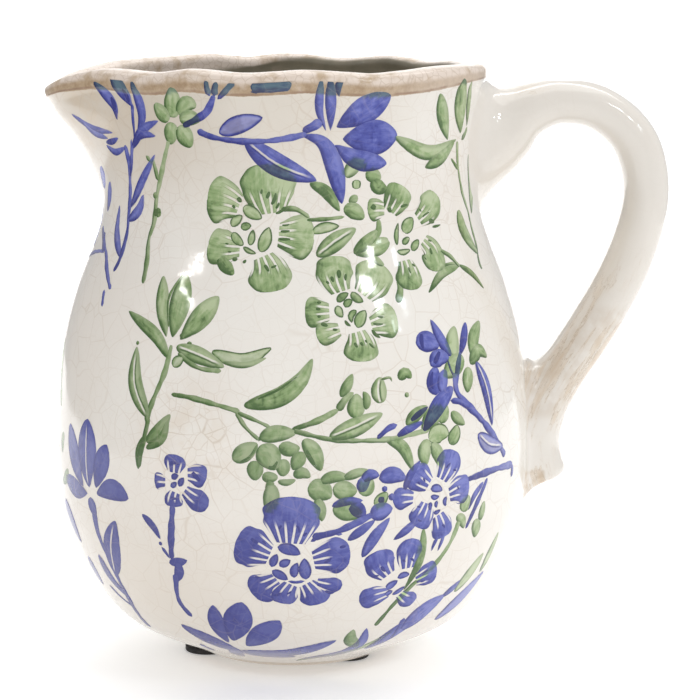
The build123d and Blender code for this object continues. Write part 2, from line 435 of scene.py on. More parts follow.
def ink_material(name, deep, body, light, crossed):
    """Underglaze colour laid on with a brush: pooled dark at one edge, watery inside, with pale veins."""
    n = Nodes(name)
    bare, lines = glaze_colour(n)
    across, along, edge = n.values("ink")
    seed, length, under = n.values("who")
    rays, rib, hollow = n.values("kind")
    tint, facing = n.values("shade")[:2]
    share = n.math("DIVIDE", along, length)
    jitter = n.times(n.minus(n.noise(1.8, detail=3, shift=0.35), 0.5), 1.0)
    outlined = n.ramp(hollow, 0.2, 0.45)
    emptied = n.ramp(hollow, 0.6, 0.9)
    # Watery fill, deeper towards the lower left of every mark
    pool = n.noise(4.5, detail=4, rough=0.6, shift=0.25, warp=0.6)
    own_side = n.plus(n.times(across, 1.1), n.times(seed, 60.0))
    streak = n.drawn_noise(own_side, n.times(along, 0.16), 0.0, 1.0, 4.0)
    wash = n.plus(n.times(pool, 0.75), n.times(streak, 0.35))
    wash = n.plus(wash, n.times(n.minus(seed, 0.5), 0.10))
    wash = n.minus(wash, n.times(facing, 0.115))
    wash = n.plus(wash, n.times(tint, 0.13))
    colour = n.mix(n.ramp(wash, 0.46, 0.70), body, light)
    colour = n.mix(n.ramp(wash, 0.50, 0.32, 0.0, 0.8), colour, deep)
    colour = n.mix(n.times(n.spot(-46, -50, 26, 105), 0.8), colour, deep)
    # Open shapes keep the glaze inside their outline
    colour = n.mix(n.times(emptied, n.ramp(edge, 0.6, 1.3, 0.0, 0.22)), colour, bare)
    # Dark edge, stronger on the lower left
    side = n.ramp(facing, -0.2, 0.45, 0.30, 1.0)
    side = n.math("MAXIMUM", side, outlined)
    rim_reach = n.ramp(hollow, 0.2, 0.45, 1.75, 0.85)
    rim = n.ramp(n.plus(edge, n.times(jitter, 0.7)), 0.32, rim_reach, 1.0, 0.0)
    colour = n.mix(n.times(rim, n.times(side, 0.95)), colour, deep)
    # Pale veins fanning out of a blossom's centre
    spread = n.math("DIVIDE", across, n.plus(n.times(along, 0.38), 3.0))
    fan = n.math("SINE", n.plus(n.times(spread, 11.5), n.times(seed, 6.0)))
    fan = n.plus(fan, n.times(jitter, 0.7))
    reach = n.math("DIVIDE", along, n.plus(n.times(length, 0.6), 3.0))
    reach = n.plus(reach, n.times(jitter, 0.25))
    taper = n.minus(fan, n.times(reach, 0.9))
    vein = n.times(n.ramp(taper, 0.05, 0.55), n.ramp(reach, 0.62, 0.40))
    beside = n.times(n.ramp(n.math("ABSOLUTE", n.plus(taper, 0.12)), 0.26, 0.06), n.ramp(reach, 0.75, 0.5))
    colour = n.mix(n.times(rays, n.times(beside, 0.6)), colour, deep)
    colour = n.mix(n.times(rays, n.times(vein, 0.9)), colour, bare)
    # Midrib: a pale scratch beside a dark line
    rib_place = n.plus(across, n.times(jitter, 0.35))
    inner = n.times(n.ramp(share, 0.04, 0.14), n.ramp(share, 0.94, 0.76))
    pale_rib = n.times(n.ramp(n.math("ABSOLUTE", n.minus(rib_place, 0.30)), 0.42, 0.18), inner)
    dark_rib = n.times(n.ramp(n.math("ABSOLUTE", n.plus(rib_place, 0.22)), 0.5, 0.15), inner)
    colour = n.mix(n.times(rib, n.times(dark_rib, 0.85)), colour, deep)
    colour = n.mix(n.times(rib, n.times(pale_rib, 0.8)), colour, bare)
    # Where one colour lies over the other, or over the brown rim, they darken each other
    colour = n.mix(n.times(under, 0.95), colour, crossed, "MULTIPLY")
    # Soft brushed edge
    fade = n.ramp(n.plus(edge, n.times(jitter, 0.5)), 0.02, 0.16, 0.5, 0.0)
    colour = n.mix(fade, colour, bare)
    colour = n.mix(n.times(lines, 0.3), colour, CRACK)
    rough = n.ramp(n.noise(6, detail=3, shift=0.7), 0.3, 0.7, 0.07, 0.14)
    return n.finish(colour, rough, glaze_normal(n), GLOSS)


def pad_material():
    n = Nodes("dark_pad")
    colour = n.mix(n.noise(1.2, detail=4), (0.012, 0.012, 0.013), (0.035, 0.034, 0.033))
    grain = n.bump(n.noise(0.5, detail=3, rough=0.7), 0.08, 0.7)
    return n.finish(colour, n.ramp(n.noise(2.0), 0.3, 0.7, 0.62, 0.82), grain)


def floor_material():
    n = Nodes("pale_floor")
    colour = n.mix(n.noise(60, detail=3), (0.90, 0.90, 0.90), (0.93, 0.93, 0.93))
    n.shader.inputs["Emission Color"].default_value = (1.0, 1.0, 1.0, 1.0)
    n.shader.inputs["Emission Strength"].default_value = 0.28
    return n.finish(colour, 0.75)


# ---------------------------------------------------------------- meshes


def new_piece(name, points, faces, material, uvs=None, vectors=None):
    """A smooth mesh object in world metres, with its bake layout and per-point values."""
    mesh = bpy.data.meshes.new(name)
    mesh.from_pydata([tuple(p) for p in points], [], faces)
    mesh.materials.append(material)
    mesh.shade_smooth()
    if uvs is not None:
        layer = mesh.uv_layers.new(name="OFBake")
        layer.data.foreach_set("uv", np.asarray(uvs, dtype=np.float32).ravel())
    for key, values in (vectors or {}).items():
        flat = np.asarray(values, dtype=np.float32).ravel()
        mesh.attributes.new(key, "FLOAT_VECTOR", "POINT").data.foreach_set("vector", flat)
    mesh.update()
    piece = bpy.data.objects.new(name, mesh)
    bpy.context.scene.collection.objects.link(piece)
    return piece


def ring_faces(rows, columns):
    """Quads between neighbouring rings of points."""
    faces = []
    for row in range(rows - 1):
        for column in range(columns):
            near = row * columns
            far = near + columns
            after = (column + 1) % columns
            faces.append((near + column, near + after, far + after, far + column))
    return faces


# Points in every ring of the vessel, the share of the bake layout that a row of the outside takes,
# and how far below the crest the level rows give way to rows that follow the wavy lip, in mm
ROUND = 288
OUTSIDE = 1.0
LIP_REACH = 7.4


def vessel_rows(phi):
    """Rings of points of the whole shell: under the foot, up the outside, over the lip, down the inside."""
    crest = rim_top(phi)
    rows = []

    def add(radius, z, below, foot, stretch):
        rows.append((radius + 0 * phi, z + 0 * phi, below + 0 * phi, foot, stretch))

    # Underside: shallow recess inside a rounded foot
    for radius, z in ((3, 1.1), (10, 1.1), (18, 1.05), (23, 0.9), (25.5, 0.45), (27, 0.1), (28.5, 0.0)):
        add(radius, z, 400.0, 3.0, 0.4)
    for z in (0.0, 0.25, 0.7, 1.4, 2.5, 3.8, 5.2, 6.8, 8.5, 10.2, 12, 14, 16, 18.5, 21):
        add(outer_radius(phi, z), z, 400.0, 3.0 - z * 0.75, OUTSIDE)
    for z in np.arange(24, 182.5, 2.2):
        add(outer_radius(phi, z), z, crest - z, 0.0, OUTSIDE)
    # Lip: a soft roll that swells a little past the wall
    lip_outer = outer_radius(phi, crest - 3.0)
    lip_inner = inner_radius(phi, crest - 3.0)
    middle = (lip_outer + lip_inner) / 2
    half = (lip_outer - lip_inner) / 2
    for z_below in (7.2, 6.6, 6.0, 5.4, 4.8, 4.2, 3.3):
        add(skin_radius(phi, crest - z_below), crest - z_below, z_below, 0.0, 1.2)
    for turn in np.radians(np.arange(0, 181, 15)):
        bulge = 0.45 * max(0.0, cos(turn)) + 0.1
        radius = middle + (half + bulge) * np.sign(cos(turn)) * abs(cos(turn)) ** 0.75
        z = crest - 2.6 + 2.6 * sin(turn) ** 0.8
        add(radius, z, 2.6 - turn * 2.9, 0.0, 1.2)
    # Inside
    for z_below in (3.4, 4.6, 6.2, 8.4, 11):
        add(inner_radius(phi, crest - z_below), crest - z_below, -5.0 - z_below, 0.0, 0.7)
    for z in np.arange(164, 20, -4.0):
        add(inner_radius(phi, z), z, z - RIM_Z, 0.0, 0.6)
    for z in (17, 14, 12, 10, 8.6, 7.6, 7.1):
        add(inner_radius(phi, z), z, z - RIM_Z, 0.0, 0.6)
    for radius in (31, 22, 12, 4):
        add(radius, FLOOR, -180.0, 0.0, 0.4)
    return rows


def kept_in_order(rows, phi):
    """The rows, where those of the outside stay below the ones that follow the wavy lip."""
    top = rim_top(phi)
    kept = []
    for radius, z, below, foot, stretch in rows:
        if stretch == OUTSIDE and np.any(z > top - LIP_REACH):
            z = np.minimum(z, top - LIP_REACH - 0.02 * (190 - z))
            radius, below = outer_radius(phi, z), top - z
        kept.append((radius, z, below, foot, stretch))
    return kept


def vessel_layout(rows):
    """Bake layout: the turn across, the run over foot, outside, lip and inside upwards."""
    run = [0.0]
    for before, after in zip(rows, rows[1:]):
        step = np.mean(np.hypot(after[0] - before[0], after[1] - before[1]))
        run.append(run[-1] + step * (before[4] + after[4]) / 2 + 0.01)
    run = 0.02 + 0.96 * np.array(run) / run[-1]
    turns = [(column / ROUND, (column + 1) / ROUND) for column in range(ROUND)]
    uvs = []
    for low, high in zip(run, run[1:]):
        for left, right in turns:
            uvs += [(left, low), (right, low), (right, high), (left, high)]
    for left, right in turns:
        uvs += [((left + right) / 2, 0.002), (right, 0.018), (left, 0.018)]
        uvs += [((left + right) / 2, 0.998), (left, 0.982), (right, 0.982)]
    return uvs


def build_vessel(material):
    phi = np.arange(ROUND) / ROUND * 2 * pi - pi / 2
    rows = kept_in_order(vessel_rows(phi), phi)
    points, values = [], []
    for radius, z, below, foot, _ in rows:
        points.append(place(phi, radius, z))
        band = np.where(below > -40, below / band_width(phi), -5.0)
        values.append(np.stack([band, below, foot + 0 * phi], axis=-1))
    # The middle of the underside and of the floor close the shell
    for z in (1.1, FLOOR):
        points.append(place(np.array([0.0]), np.array([0.0]), np.array([z])))
    values += [[[58.0, 400.0, 3.0]], [[-5.0, -180.0, 0.0]]]
    faces = ring_faces(len(rows), ROUND)
    last_ring = (len(rows) - 1) * ROUND
    bottom, floor = len(rows) * ROUND, len(rows) * ROUND + 1
    for column in range(ROUND):
        after = (column + 1) % ROUND
        faces.append((bottom, after, column))
        faces.append((floor, last_ring + column, last_ring + after))
    rim = np.concatenate(values)
    return new_piece("vessel", np.concatenate(points), faces, material, vessel_layout(rows), {"rim": rim})


# Handle centre line: distance from the axis, height, width across, thickness, slope in degrees
HANDLE = np.array([
    (50.0, 161.5, 35.0, 36.0, 4.0),
    (60.0, 164.0, 31.5, 30.2, 5.0),
    (66.6, 167.5, 28.0, 24.6, 3.0),
    (72.2, 171.5, 25.8, 19.0, 4.0),
    (77.8, 174.1, 24.3, 16.2, 4.0),
    (84.5, 175.7, 23.0, 14.9, 1.0),
    (93.0, 174.8, 22.3, 14.3, -13.0),
    (99.2, 172.2, 22.0, 14.2, -28.0),
    (105.4, 167.4, 21.6, 14.4, -44.0),
    (109.9, 160.7, 21.2, 14.6, -61.0),
    (112.3, 151.6, 21.0, 14.5, -81.0),
    (112.3, 142.1, 21.0, 14.5, -96.0),
    (109.8, 131.6, 21.0, 14.8, -104.0),
    (105.7, 120.8, 21.3, 15.1, -113.0),
    (99.6, 109.3, 22.0, 15.2, -120.0),
    (92.4, 97.8, 22.8, 15.1, -122.5),
    (85.8, 87.7, 23.8, 15.0, -120.0),
    (80.6, 78.0, 24.6, 15.8, -108.0),
    (77.7, 68.0, 25.0, 17.0, -91.0),
    (78.6, 59.6, 24.2, 17.4, -80.0),
    (79.9, 54.8, 22.6, 18.2, -76.0),
])


def spline(table, count):
    """Smooth rows through the table's rows, evenly many between neighbours."""
    rows = []
    last = len(table) - 1
    for step in range(count):
        t = step / (count - 1) * last
        i = min(int(t), last - 1)
        t -= i
        before, a, b, after = table[max(i - 1, 0)], table[i], table[i + 1], table[min(i + 2, last)]
        rows.append(0.5 * (
            2 * a + (b - before) * t
            + (2 * before - 5 * a + 4 * b - after) * t * t
            + (3 * a - before - 3 * b + after) * t ** 3
        ))
    return np.array(rows)


def smooth_least(a, b, reach):
    """The lesser of two distances, rounded where they are close."""
    blend = np.clip(0.5 + 0.5 * (b - a) / reach, 0, 1)
    return b + (a - b) * blend - reach * blend * (1 - blend)


class HandleShape:
    """Signed distance to the strap, run smoothly into the vessel's outside."""

    def __init__(self):
        self.rows = spline(HANDLE, 260)
        self.line = self.rows[:, [0, 1]]
        self.slope = np.radians(self.rows[:, 4])
        self.run = np.concatenate([[0.0], np.cumsum(np.hypot(*np.diff(self.line, axis=0).T))])
        end = self.slope[-1]
        self.end_face = (self.line[-1], np.array([cos(end), sin(end)]))

    def follow(self, x, z):
        """Nearest place on the centre line: run, offset in the plane of the handle, width, thickness."""
        a, b = self.line[:-1], self.line[1:]
        step = b - a
        best = np.full(x.shape, 1e9)
        place = np.zeros(x.shape)
        for i in range(len(a)):
            t = ((x - a[i, 0]) * step[i, 0] + (z - a[i, 1]) * step[i, 1]) / (step[i] @ step[i])
            t = np.clip(t, 0, 1)
            gap = np.hypot(x - a[i, 0] - t * step[i, 0], z - a[i, 1] - t * step[i, 1])
            closer = gap < best
            best = np.where(closer, gap, best)
            place = np.where(closer, i + t, place)
        index = np.arange(len(self.rows))
        run = np.interp(place, index, self.run)
        slope = np.interp(place, index, np.unwrap(self.slope))
        foot_x = np.interp(place, index, self.line[:, 0])
        foot_z = np.interp(place, index, self.line[:, 1])
        side = -(x - foot_x) * np.sin(slope) + (z - foot_z) * np.cos(slope)
        width = np.interp(place, index, self.rows[:, 2])
        thick = np.interp(place, index, self.rows[:, 3])
        return run, np.where(side < 0, -best, best), width, thick

    def strap(self, x, y, z, followed=None):
        run, side, width, thick = followed if followed is not None else self.follow(x, z)
        power = 2.35
        u = np.abs(y) / (width / 2)
        v = np.abs(side) / (thick / 2)
        level = (u ** power + v ** power + 1e-12) ** (1 / power)
        steep_u = (u / level) ** (power - 1) / (width / 2)
        steep_v = (v / level) ** (power - 1) / (thick / 2)
        distance = (level - 1) / np.maximum(np.hypot(steep_u, steep_v), 0.02)
        corner, way = self.end_face
        past = (x - corner[0]) * way[0] + (z - corner[1]) * way[1] - 0.6 + 0.05 * side ** 2 / 4
        past = np.where(z < 75, past, -9.0)
        return -smooth_least(-distance, -past, 2.2)

    def field(self, x, y, z, followed=None):
        strap = self.strap(x, y, z, followed)
        phi = np.arctan2(x, -y)
        radius = np.hypot(x, y)
        wall = (radius - outer_radius(phi, z)) * 0.97
        flank = 3.6 * smooth(3.0, 11.0, np.abs(y))
        upper = 6.5 * smooth(118, 150, z)
        crotch = 6.4 * smooth(72, 88, z) * smooth(138, 96, z)
        reach = 3.6 + np.maximum(np.maximum(flank, upper), crotch)
        near = strap / reach
        sink = 0.02 + 0.2 * smooth(0.7, 1.05, near) + 1.3 * smooth(0.98, 1.2, near)
        joined = smooth_least(strap, wall + sink, reach)
        # Shut the piece inside the wall of the vessel and a little past the fillet
        joined = np.maximum(joined, -(wall + 2.4))
        joined = np.maximum(joined, z - 182.4)
        return np.maximum(joined, strap - reach * 1.3)


def surface_net(values, low, step):
    """Points and quads where a grid of values crosses 0."""
    cells = np.array(values.shape) - 1
    total, count = np.zeros((*cells, 3)), np.zeros(cells)
    grid = np.stack(np.meshgrid(*[np.arange(n, dtype=float) for n in values.shape], indexing="ij"), axis=-1)
    for axis in range(3):
        here = tuple(slice(0, -1) if other == axis else slice(None) for other in range(3))
        after = tuple(slice(1, None) if other == axis else slice(None) for other in range(3))
        a, b = values[here], values[after]
        cross = (a < 0) != (b < 0)
        spots = grid[here].copy()
        spots[..., axis] += np.where(cross, a / np.where(cross, a - b, 1), 0)
        # Every crossed edge counts for the four cells that share it
        others = [other for other in range(3) if other != axis]
        for shifts in ((0, 0), (0, 1), (1, 0), (1, 1)):
            cut = [slice(None)] * 3
            for other, shift in zip(others, shifts):
                cut[other] = slice(shift, shift + cells[other])
            cut = tuple(cut)
            total += np.where(cross[cut][..., None], spots[cut], 0)
            count += cross[cut]
    used = count > 0
    number = np.full(used.shape, -1)
    number[used] = np.arange(used.sum())
    points = total[used] / count[used][:, None] * step + low
    faces = []
    for axis in range(3):
        a = np.moveaxis(values, axis, 0)[:-1]
        b = np.moveaxis(values, axis, 0)[1:]
        near = np.moveaxis(number, axis, 0)
        for rising in (True, False):
            cross = ((a < 0) & (b >= 0)) if rising else ((a >= 0) & (b < 0))
            i, j, k = np.nonzero(cross[:, 1:-1, 1:-1])
            ring = [near[i, j, k], near[i, j + 1, k], near[i, j + 1, k + 1], near[i, j, k + 1]]
            if rising == (axis == 1):
                ring.reverse()
            faces += list(zip(*[corner.tolist() for corner in ring]))
    return points, faces


def averaged(values, ties, rounds):
    """Values of the points evened out with those of their neighbours."""
    count = np.bincount(ties[:, 0], minlength=len(values))[:, None]
    for _ in range(rounds):
        total = np.zeros_like(values)
        np.add.at(total, ties[:, 0], values[ties[:, 1]])
        values = values * 0.5 + total / np.maximum(count, 1) * 0.5
    return values


def build_handle(material):
    shape = HandleShape()
    step = 0.9
    low, high = np.array([44.0, -32.0, 40.0]), np.array([123.0, 32.0, 188.0])
    x, y, z = (np.arange(low[i], high[i], step) for i in range(3))
    flat_x, flat_z = np.meshgrid(x, z, indexing="ij")
    followed = [part[:, None, :] for part in shape.follow(flat_x, flat_z)]
    values = shape.field(x[:, None, None], y[None, :, None], z[None, None, :], followed)
    points, faces = surface_net(values, low, step)
    small = 0.02
    for _ in range(3):
        here = shape.field(*points.T)
        rise = np.stack([
            shape.field(*(points + small * np.eye(3)[axis]).T) - here for axis in range(3)
        ], axis=-1) / small
        length = np.maximum((rise ** 2).sum(axis=1), 0.2)
        points = points - np.clip(here / length, -0.4, 0.4)[:, None] * rise
    corners = np.array(faces)
    ties = np.vstack([corners[:, [0, 1]], corners[:, [1, 2]], corners[:, [2, 3]], corners[:, [3, 0]]])
    normals = rise / np.linalg.norm(rise, axis=1)[:, None]
    normals = averaged(normals, ties, 4)
    points = averaged(points, ties, 2)
    normals /= np.linalg.norm(normals, axis=1)[:, None]
    run, side, width, thick = shape.follow(points[:, 0], points[:, 2])
    low_part = smooth(132, 108, points[:, 2]) * smooth(60, 78, points[:, 2])
    notch = smooth(64, 58, points[:, 2]) * smooth(84.5, 79.5, points[:, 0])
    crest = smooth(66, 74, points[:, 0]) * smooth(84, 76, points[:, 0]) * smooth(176, 180, points[:, 2])
    across = np.abs(points[:, 1]) / (width / 2)
    wear = low_part * (0.35 + 0.65 * smooth(0.2, 0.8, across)) + 1.1 * notch + 0.7 * crest
    world = points * MM + np.array([AXIS_X, 0, FOOT_Z])
    strap = np.stack([run, side, wear], axis=-1)
    piece = new_piece("handle_strap", world, faces, material, vectors={"strap": strap})
    piece.data.normals_split_custom_set_from_vertices([tuple(normal) for normal in normals])
    return piece


# ---------------------------------------------------------------- print


def outline(kind, t, length, seed):
    """Half-width of a stroke as a share of its widest, at shares t of its length."""
    if kind in ("leaf", "open"):
        return np.sin(pi * t ** 0.85) ** 0.66
    if kind == "lily":
        return (np.sin(pi * np.clip(t, 0, 1) ** 1.15) ** 0.68) * (0.92 + 0.08 * t)
    if kind == "petal":
        grow = 0.46 + 0.54 * smooth(-0.15, 0.55, t)
        close = np.sqrt(np.clip(1 - (np.clip(t - 0.62, 0, None) / 0.38) ** 2.4, 0, 1))
        scallop = 1 + 0.04 * np.sin(t * length * 1.2 + seed * 20) * smooth(0.2, 0.6, t)
        return grow * close * scallop
    if kind == "disc":
        return np.sqrt(np.clip(1 - (2 * t - 1) ** 2, 0, 1)) * (1 + 0.05 * np.sin(t * 9 + seed * 30))
    # stem
    soft = min(0.45, 1.2 / length)
    ends = np.minimum(smooth(-0.02, soft, t), smooth(-0.02, soft, 1 - t))
    slow = 0.16 * np.sin(t * length * 0.45 + seed * 40)
    quick = 0.08 * np.sin(t * length * 1.3 + seed * 9)
    return ends * (1 + slow + quick)


def curve_points(knots, spacing):
    """Points along a smooth curve through the knots, evenly spaced, with the run so far."""
    knots = np.array(knots, dtype=float)
    if len(knots) == 2:
        knots = np.array([knots[0], knots.mean(axis=0), knots[1]])
    padded = np.vstack([2 * knots[0] - knots[1], knots, 2 * knots[-1] - knots[-2]])
    fine = []
    for i in range(1, len(padded) - 2):
        before, a, b, after = padded[i - 1:i + 3]
        for t in np.linspace(0, 1, 24, endpoint=False):
            fine.append(0.5 * (
                2 * a + (b - before) * t
                + (2 * before - 5 * a + 4 * b - after) * t * t
                + (3 * a - before - 3 * b + after) * t ** 3
            ))
    fine.append(knots[-1])
    fine = np.array(fine)
    run = np.concatenate([[0.0], np.cumsum(np.hypot(*np.diff(fine, axis=0).T))])
    count = max(6, int(ceil(run[-1] / spacing)) + 1)
    even = np.linspace(0, run[-1], count)
    return np.stack([np.interp(even, run, fine[:, 0]), np.interp(even, run, fine[:, 1])], axis=-1), even


def flat_of(x, z):
    """Where a point of the front face, seen square on, lies on the unrolled surface: angle, climb."""
    phi = 0.0
    for _ in range(24):
        phi = (phi + asin(max(-0.995, min(0.995, x / float(outer_radius(phi, z)))))) / 2
    return phi, float(climb_of(z))


def toward(end, inner, extra=0.6):
    """The end of a stroke pushed out a little, away from its inner neighbour."""
    gap = sqrt((end[0] - inner[0]) ** 2 + (end[1] - inner[1]) ** 2)
    return tuple(a + (a - b) * extra / gap for a, b in zip(end, inner))


def random_of(*values):
    """A steady number from 0 to 1 for some values."""
    total = sin(sum((index * 7.13 + 12.9898) * value for index, value in enumerate(values, 1))) * 43758.5453
    return total - int(total) if total > 0 else total - int(total) + 1


# How much wider the ink runs than the stroke is drawn, in mm
LEAF_BLEED, STEM_BLEED = 0.75, 0.3

# How far a strip's edges sink into the skin and how deep its hidden underside lies, the step between
# strips that may lie across each other, how many steps there are, and the lift of marks inside a petal
SUNK_EDGE, UNDERSIDE = 0.04, 0.7
LIFT_STEP, LIFTS, OVER_LIFT = 0.004, 17, 0.071


class Stroke:
    """One brush mark: a strip on the unrolled surface with its own half-widths."""

    def __init__(self, kind, width, knots, tone=0.0, rib=False, rays=False, hollow=0.0, over=False):
        self.kind, self.tone, self.rib, self.rays, self.over = kind, tone, rib, rays, over
        self.hollow = 1.0 if kind == "open" else float(hollow)
        self.seed = random_of(knots[0][0], knots[0][1], width)
        if not over and kind in ("leaf", "lily", "open", "stem"):
            width += STEM_BLEED if kind == "stem" else LEAF_BLEED
            knots = [toward(knots[0], knots[1]), *knots[1:-1], toward(knots[-1], knots[-2])]
        if kind == "petal":
            width = width * 1.05 + 0.4
        flats = [flat_of(x, z) for x, z in knots]
        # Work in mm on a sheet unrolled at the stroke's own middle radius
        middle = flats[len(flats) // 2]
        self.scale = float(outer_radius(middle[0], height_of(middle[1])))
        sheet = [(phi * self.scale, climb) for phi, climb in flats]
        spacing = 0.55 if width < 2.2 or kind == "petal" else 0.8
        self.spine, self.run = curve_points(sheet, spacing)
        self.length = float(self.run[-1])
        t = self.run / self.length
        self.half = np.maximum(outline(kind, t, self.length, self.seed) * width / 2, 0.02)
        step = np.gradient(self.spine, axis=0)
        step /= np.linalg.norm(step, axis=1)[:, None] + 1e-9
        self.way = step
        self.side = np.stack([-step[:, 1], step[:, 0]], axis=-1)

    def clear_of_handle(self):
        """Whether the stroke, turned half round the vessel, keeps off the ends of the handle."""
        return self.spine[:, 0].min() / self.scale > radians(-56)

    def holds(self, phi, climb):
        """Which of these points of the surface the stroke covers."""
        x = phi * self.scale
        reach = float(self.half.max())
        near = (
            (x > self.spine[:, 0].min() - reach) & (x < self.spine[:, 0].max() + reach)
            & (climb > self.spine[:, 1].min() - reach) & (climb < self.spine[:, 1].max() + reach)
        )
        inside = np.zeros(len(phi))
        picked = np.nonzero(near)[0]
        if len(picked):
            gap_x = x[picked, None] - self.spine[None, :, 0]
            gap_climb = climb[picked, None] - self.spine[None, :, 1]
            gap = np.hypot(gap_x, gap_climb)
            closest = gap.argmin(axis=1)
            depth = self.half[closest] - gap[np.arange(len(picked)), closest]
            inside[picked] = smooth(-0.1, 0.35, depth)
        return inside


def lay_on_wall(phi, climb, level):
    """Places of the print's points at their levels above the skin, outward directions and heights, in mm."""
    z = np.minimum(height_of(climb), rim_top(phi) - 3.0)
    radius = skin_radius(phi, z)
    small = 0.02
    slope = (skin_radius(phi, z + small) - skin_radius(phi, z - small)) / (2 * small)
    swing = (outer_radius(phi + 0.001, z) - outer_radius(phi - 0.001, z)) / 0.002 / radius
    outward = [np.sin(phi) - swing * np.cos(phi), -np.cos(phi) - swing * np.sin(phi), -slope]
    outward = np.stack(outward, axis=-1)
    outward /= np.linalg.norm(outward, axis=1)[:, None]
    where = np.stack([radius * np.sin(phi), -radius * np.cos(phi), z], axis=-1) + outward * level[:, None]
    return where, outward, z


def strip_faces(rows, columns):
    """Faces of a closed strip, and for each of their corners the point whose place in the layout it takes.

    The flanks, which run down to a sunk line under the strip, and the ends are out of sight, so each of
    them takes the place of one point.
    """
    sunk = rows * columns
    faces, anchors = [], []
    for row in range(rows - 1):
        near = row * columns
        for point in range(near, near + columns - 1):
            faces.append((point, point + columns, point + columns + 1, point + 1))
            anchors += faces[-1]
        below = sunk + row
        faces.append((near, below, below + 1, near + columns))
        faces.append((below, near + columns - 1, near + 2 * columns - 1, below + 1))
        anchors += [near] * 8
    faces.append((*range(columns), sunk))
    faces.append((*range(sunk - 1, sunk - 1 - columns, -1), sunk + rows - 1))
    anchors += [0] * (2 * columns + 2)
    return faces, anchors


def print_piece(name, strokes, material, base_lift, beneath, back):
    """All strokes of one colour as thin closed strips in the glaze, or turned half round to the back."""
    points, normals, faces, loops = [], [], [], []
    vectors = {"ink": [], "who": [], "kind": [], "shade": []}
    for index, (stroke, box) in enumerate(zip(strokes, shelf_layout(strokes))):
        lift = base_lift + (OVER_LIFT if stroke.over else LIFT_STEP * (index % LIFTS))
        widest = float(stroke.half.max())
        inner = max(1, int(ceil(widest * 2 / 1.2)))
        edge = min(0.30 / widest, 0.5)
        across = np.concatenate([[-1.0], np.linspace(-(1 - edge), 1 - edge, inner + 1), [1.0]])
        columns, rows = len(across), len(stroke.run)
        offset = stroke.half[:, None] * across[None, :]
        sheet = stroke.spine[:, None, :] + stroke.side[:, None, :] * offset[..., None]
        drawn_at = (sheet[..., 0] / stroke.scale).ravel()
        phi = drawn_at + pi if back else drawn_at
        climb = sheet[..., 1].ravel()
        level = np.where(np.tile(np.abs(across) > 0.999, rows), -SUNK_EDGE, lift)
        level[:columns] = level[-columns:] = -SUNK_EDGE
        where, outward, z = lay_on_wall(phi, climb, level)
        # Values that the ink reads at each point
        distance = stroke.half[:, None] * (1 - np.abs(across))[None, :]
        under = smooth(0.2, -0.2, rim_top(phi) - z - band_width(phi))
        for other in beneath:
            under = np.maximum(under, other.holds(drawn_at, climb))
        share = np.repeat(stroke.run / stroke.length * 2 - 1, columns)
        lean = np.tile(across, rows)[:, None] * np.repeat(stroke.side, columns, axis=0)
        lean = lean + share[:, None] * np.repeat(stroke.way, columns, axis=0) * 0.85
        facing = lean @ np.array([-0.75, -0.66])
        same = np.ones(len(phi))
        values = {
            "ink": (offset.ravel(), np.repeat(stroke.run, columns), distance.ravel()),
            "who": (same * stroke.seed, same * stroke.length, under),
            "kind": (same * stroke.rays, same * stroke.rib, same * stroke.hollow),
            "shade": (same * stroke.tone, facing, share),
        }
        # The strip's own points, then the sunk line along the middle of its underside
        centre = np.arange(rows) * columns + columns // 2
        for key, parts in values.items():
            here = np.stack(parts, axis=-1)
            vectors[key] += [*here, *here[centre]]
        start = len(points)
        points += [*where, *(where[centre] - outward[centre] * (UNDERSIDE + level[centre])[:, None])]
        normals += [*outward, *-outward[centre]]
        strip, anchors = strip_faces(rows, columns)
        faces += [tuple(start + corner for corner in face) for face in strip]
        left, bottom, scale = box
        u = left + (offset + widest).ravel() * scale
        v = bottom + np.repeat(stroke.run, columns) * scale
        loops += list(zip(u[anchors], v[anchors]))
    world = np.array(points) * MM + np.array([AXIS_X, 0, FOOT_Z])
    piece = new_piece(name, world, faces, material, loops, vectors=vectors)
    piece.data.normals_split_custom_set_from_vertices([tuple(normal) for normal in normals])
    return piece


def shelf_layout(strokes):
    """Lower left corner and scale of each stroke's rectangle in the unit square, packed on shelves."""
    sizes = [(2 * float(stroke.half.max()) + 0.8, stroke.length + 0.8) for stroke in strokes]
    order = sorted(range(len(strokes)), key=lambda index: -sizes[index][1])
    side = sqrt(sum(width * height for width, height in sizes))
    while True:
        side *= 1.02
        places, left, bottom, shelf = {}, 0.0, 0.0, 0.0
        for index in order:
            width, height = sizes[index]
            if left + width > side:
                left, bottom, shelf = 0.0, bottom + shelf, 0.0
            places[index] = (left, bottom)
            left += width
            shelf = max(shelf, height)
        if bottom + shelf <= side:
            break
    return [((places[i][0] + 0.4) / side, (places[i][1] + 0.4) / side, 1 / side) for i in range(len(strokes))]


def leaf(width, *knots, **more):
    return Stroke("leaf", width, knots, **more)


def lily(width, *knots, **more):
    return Stroke("lily", width, knots, **more)


def petal(width, *knots, **more):
    return Stroke("petal", width, knots, rays=True, **more)


def stem(width, *knots, **more):
    return Stroke("stem", width, knots, **more)


def hollow(width, *knots, **more):
    return Stroke("open", width, knots, **more)


def seed(width, *knots, **more):
    return Stroke("leaf", width, knots, hollow=0.5, over=True, **more)


def fleck(width, *knots):
    return Stroke("leaf", width, knots, tone=-3, over=True)


def bead(width, x, z, height=None, **more):
    height = height or width
    return Stroke("disc", width, [(x, z - height / 2), (x, z), (x, z + height / 2)], **more)


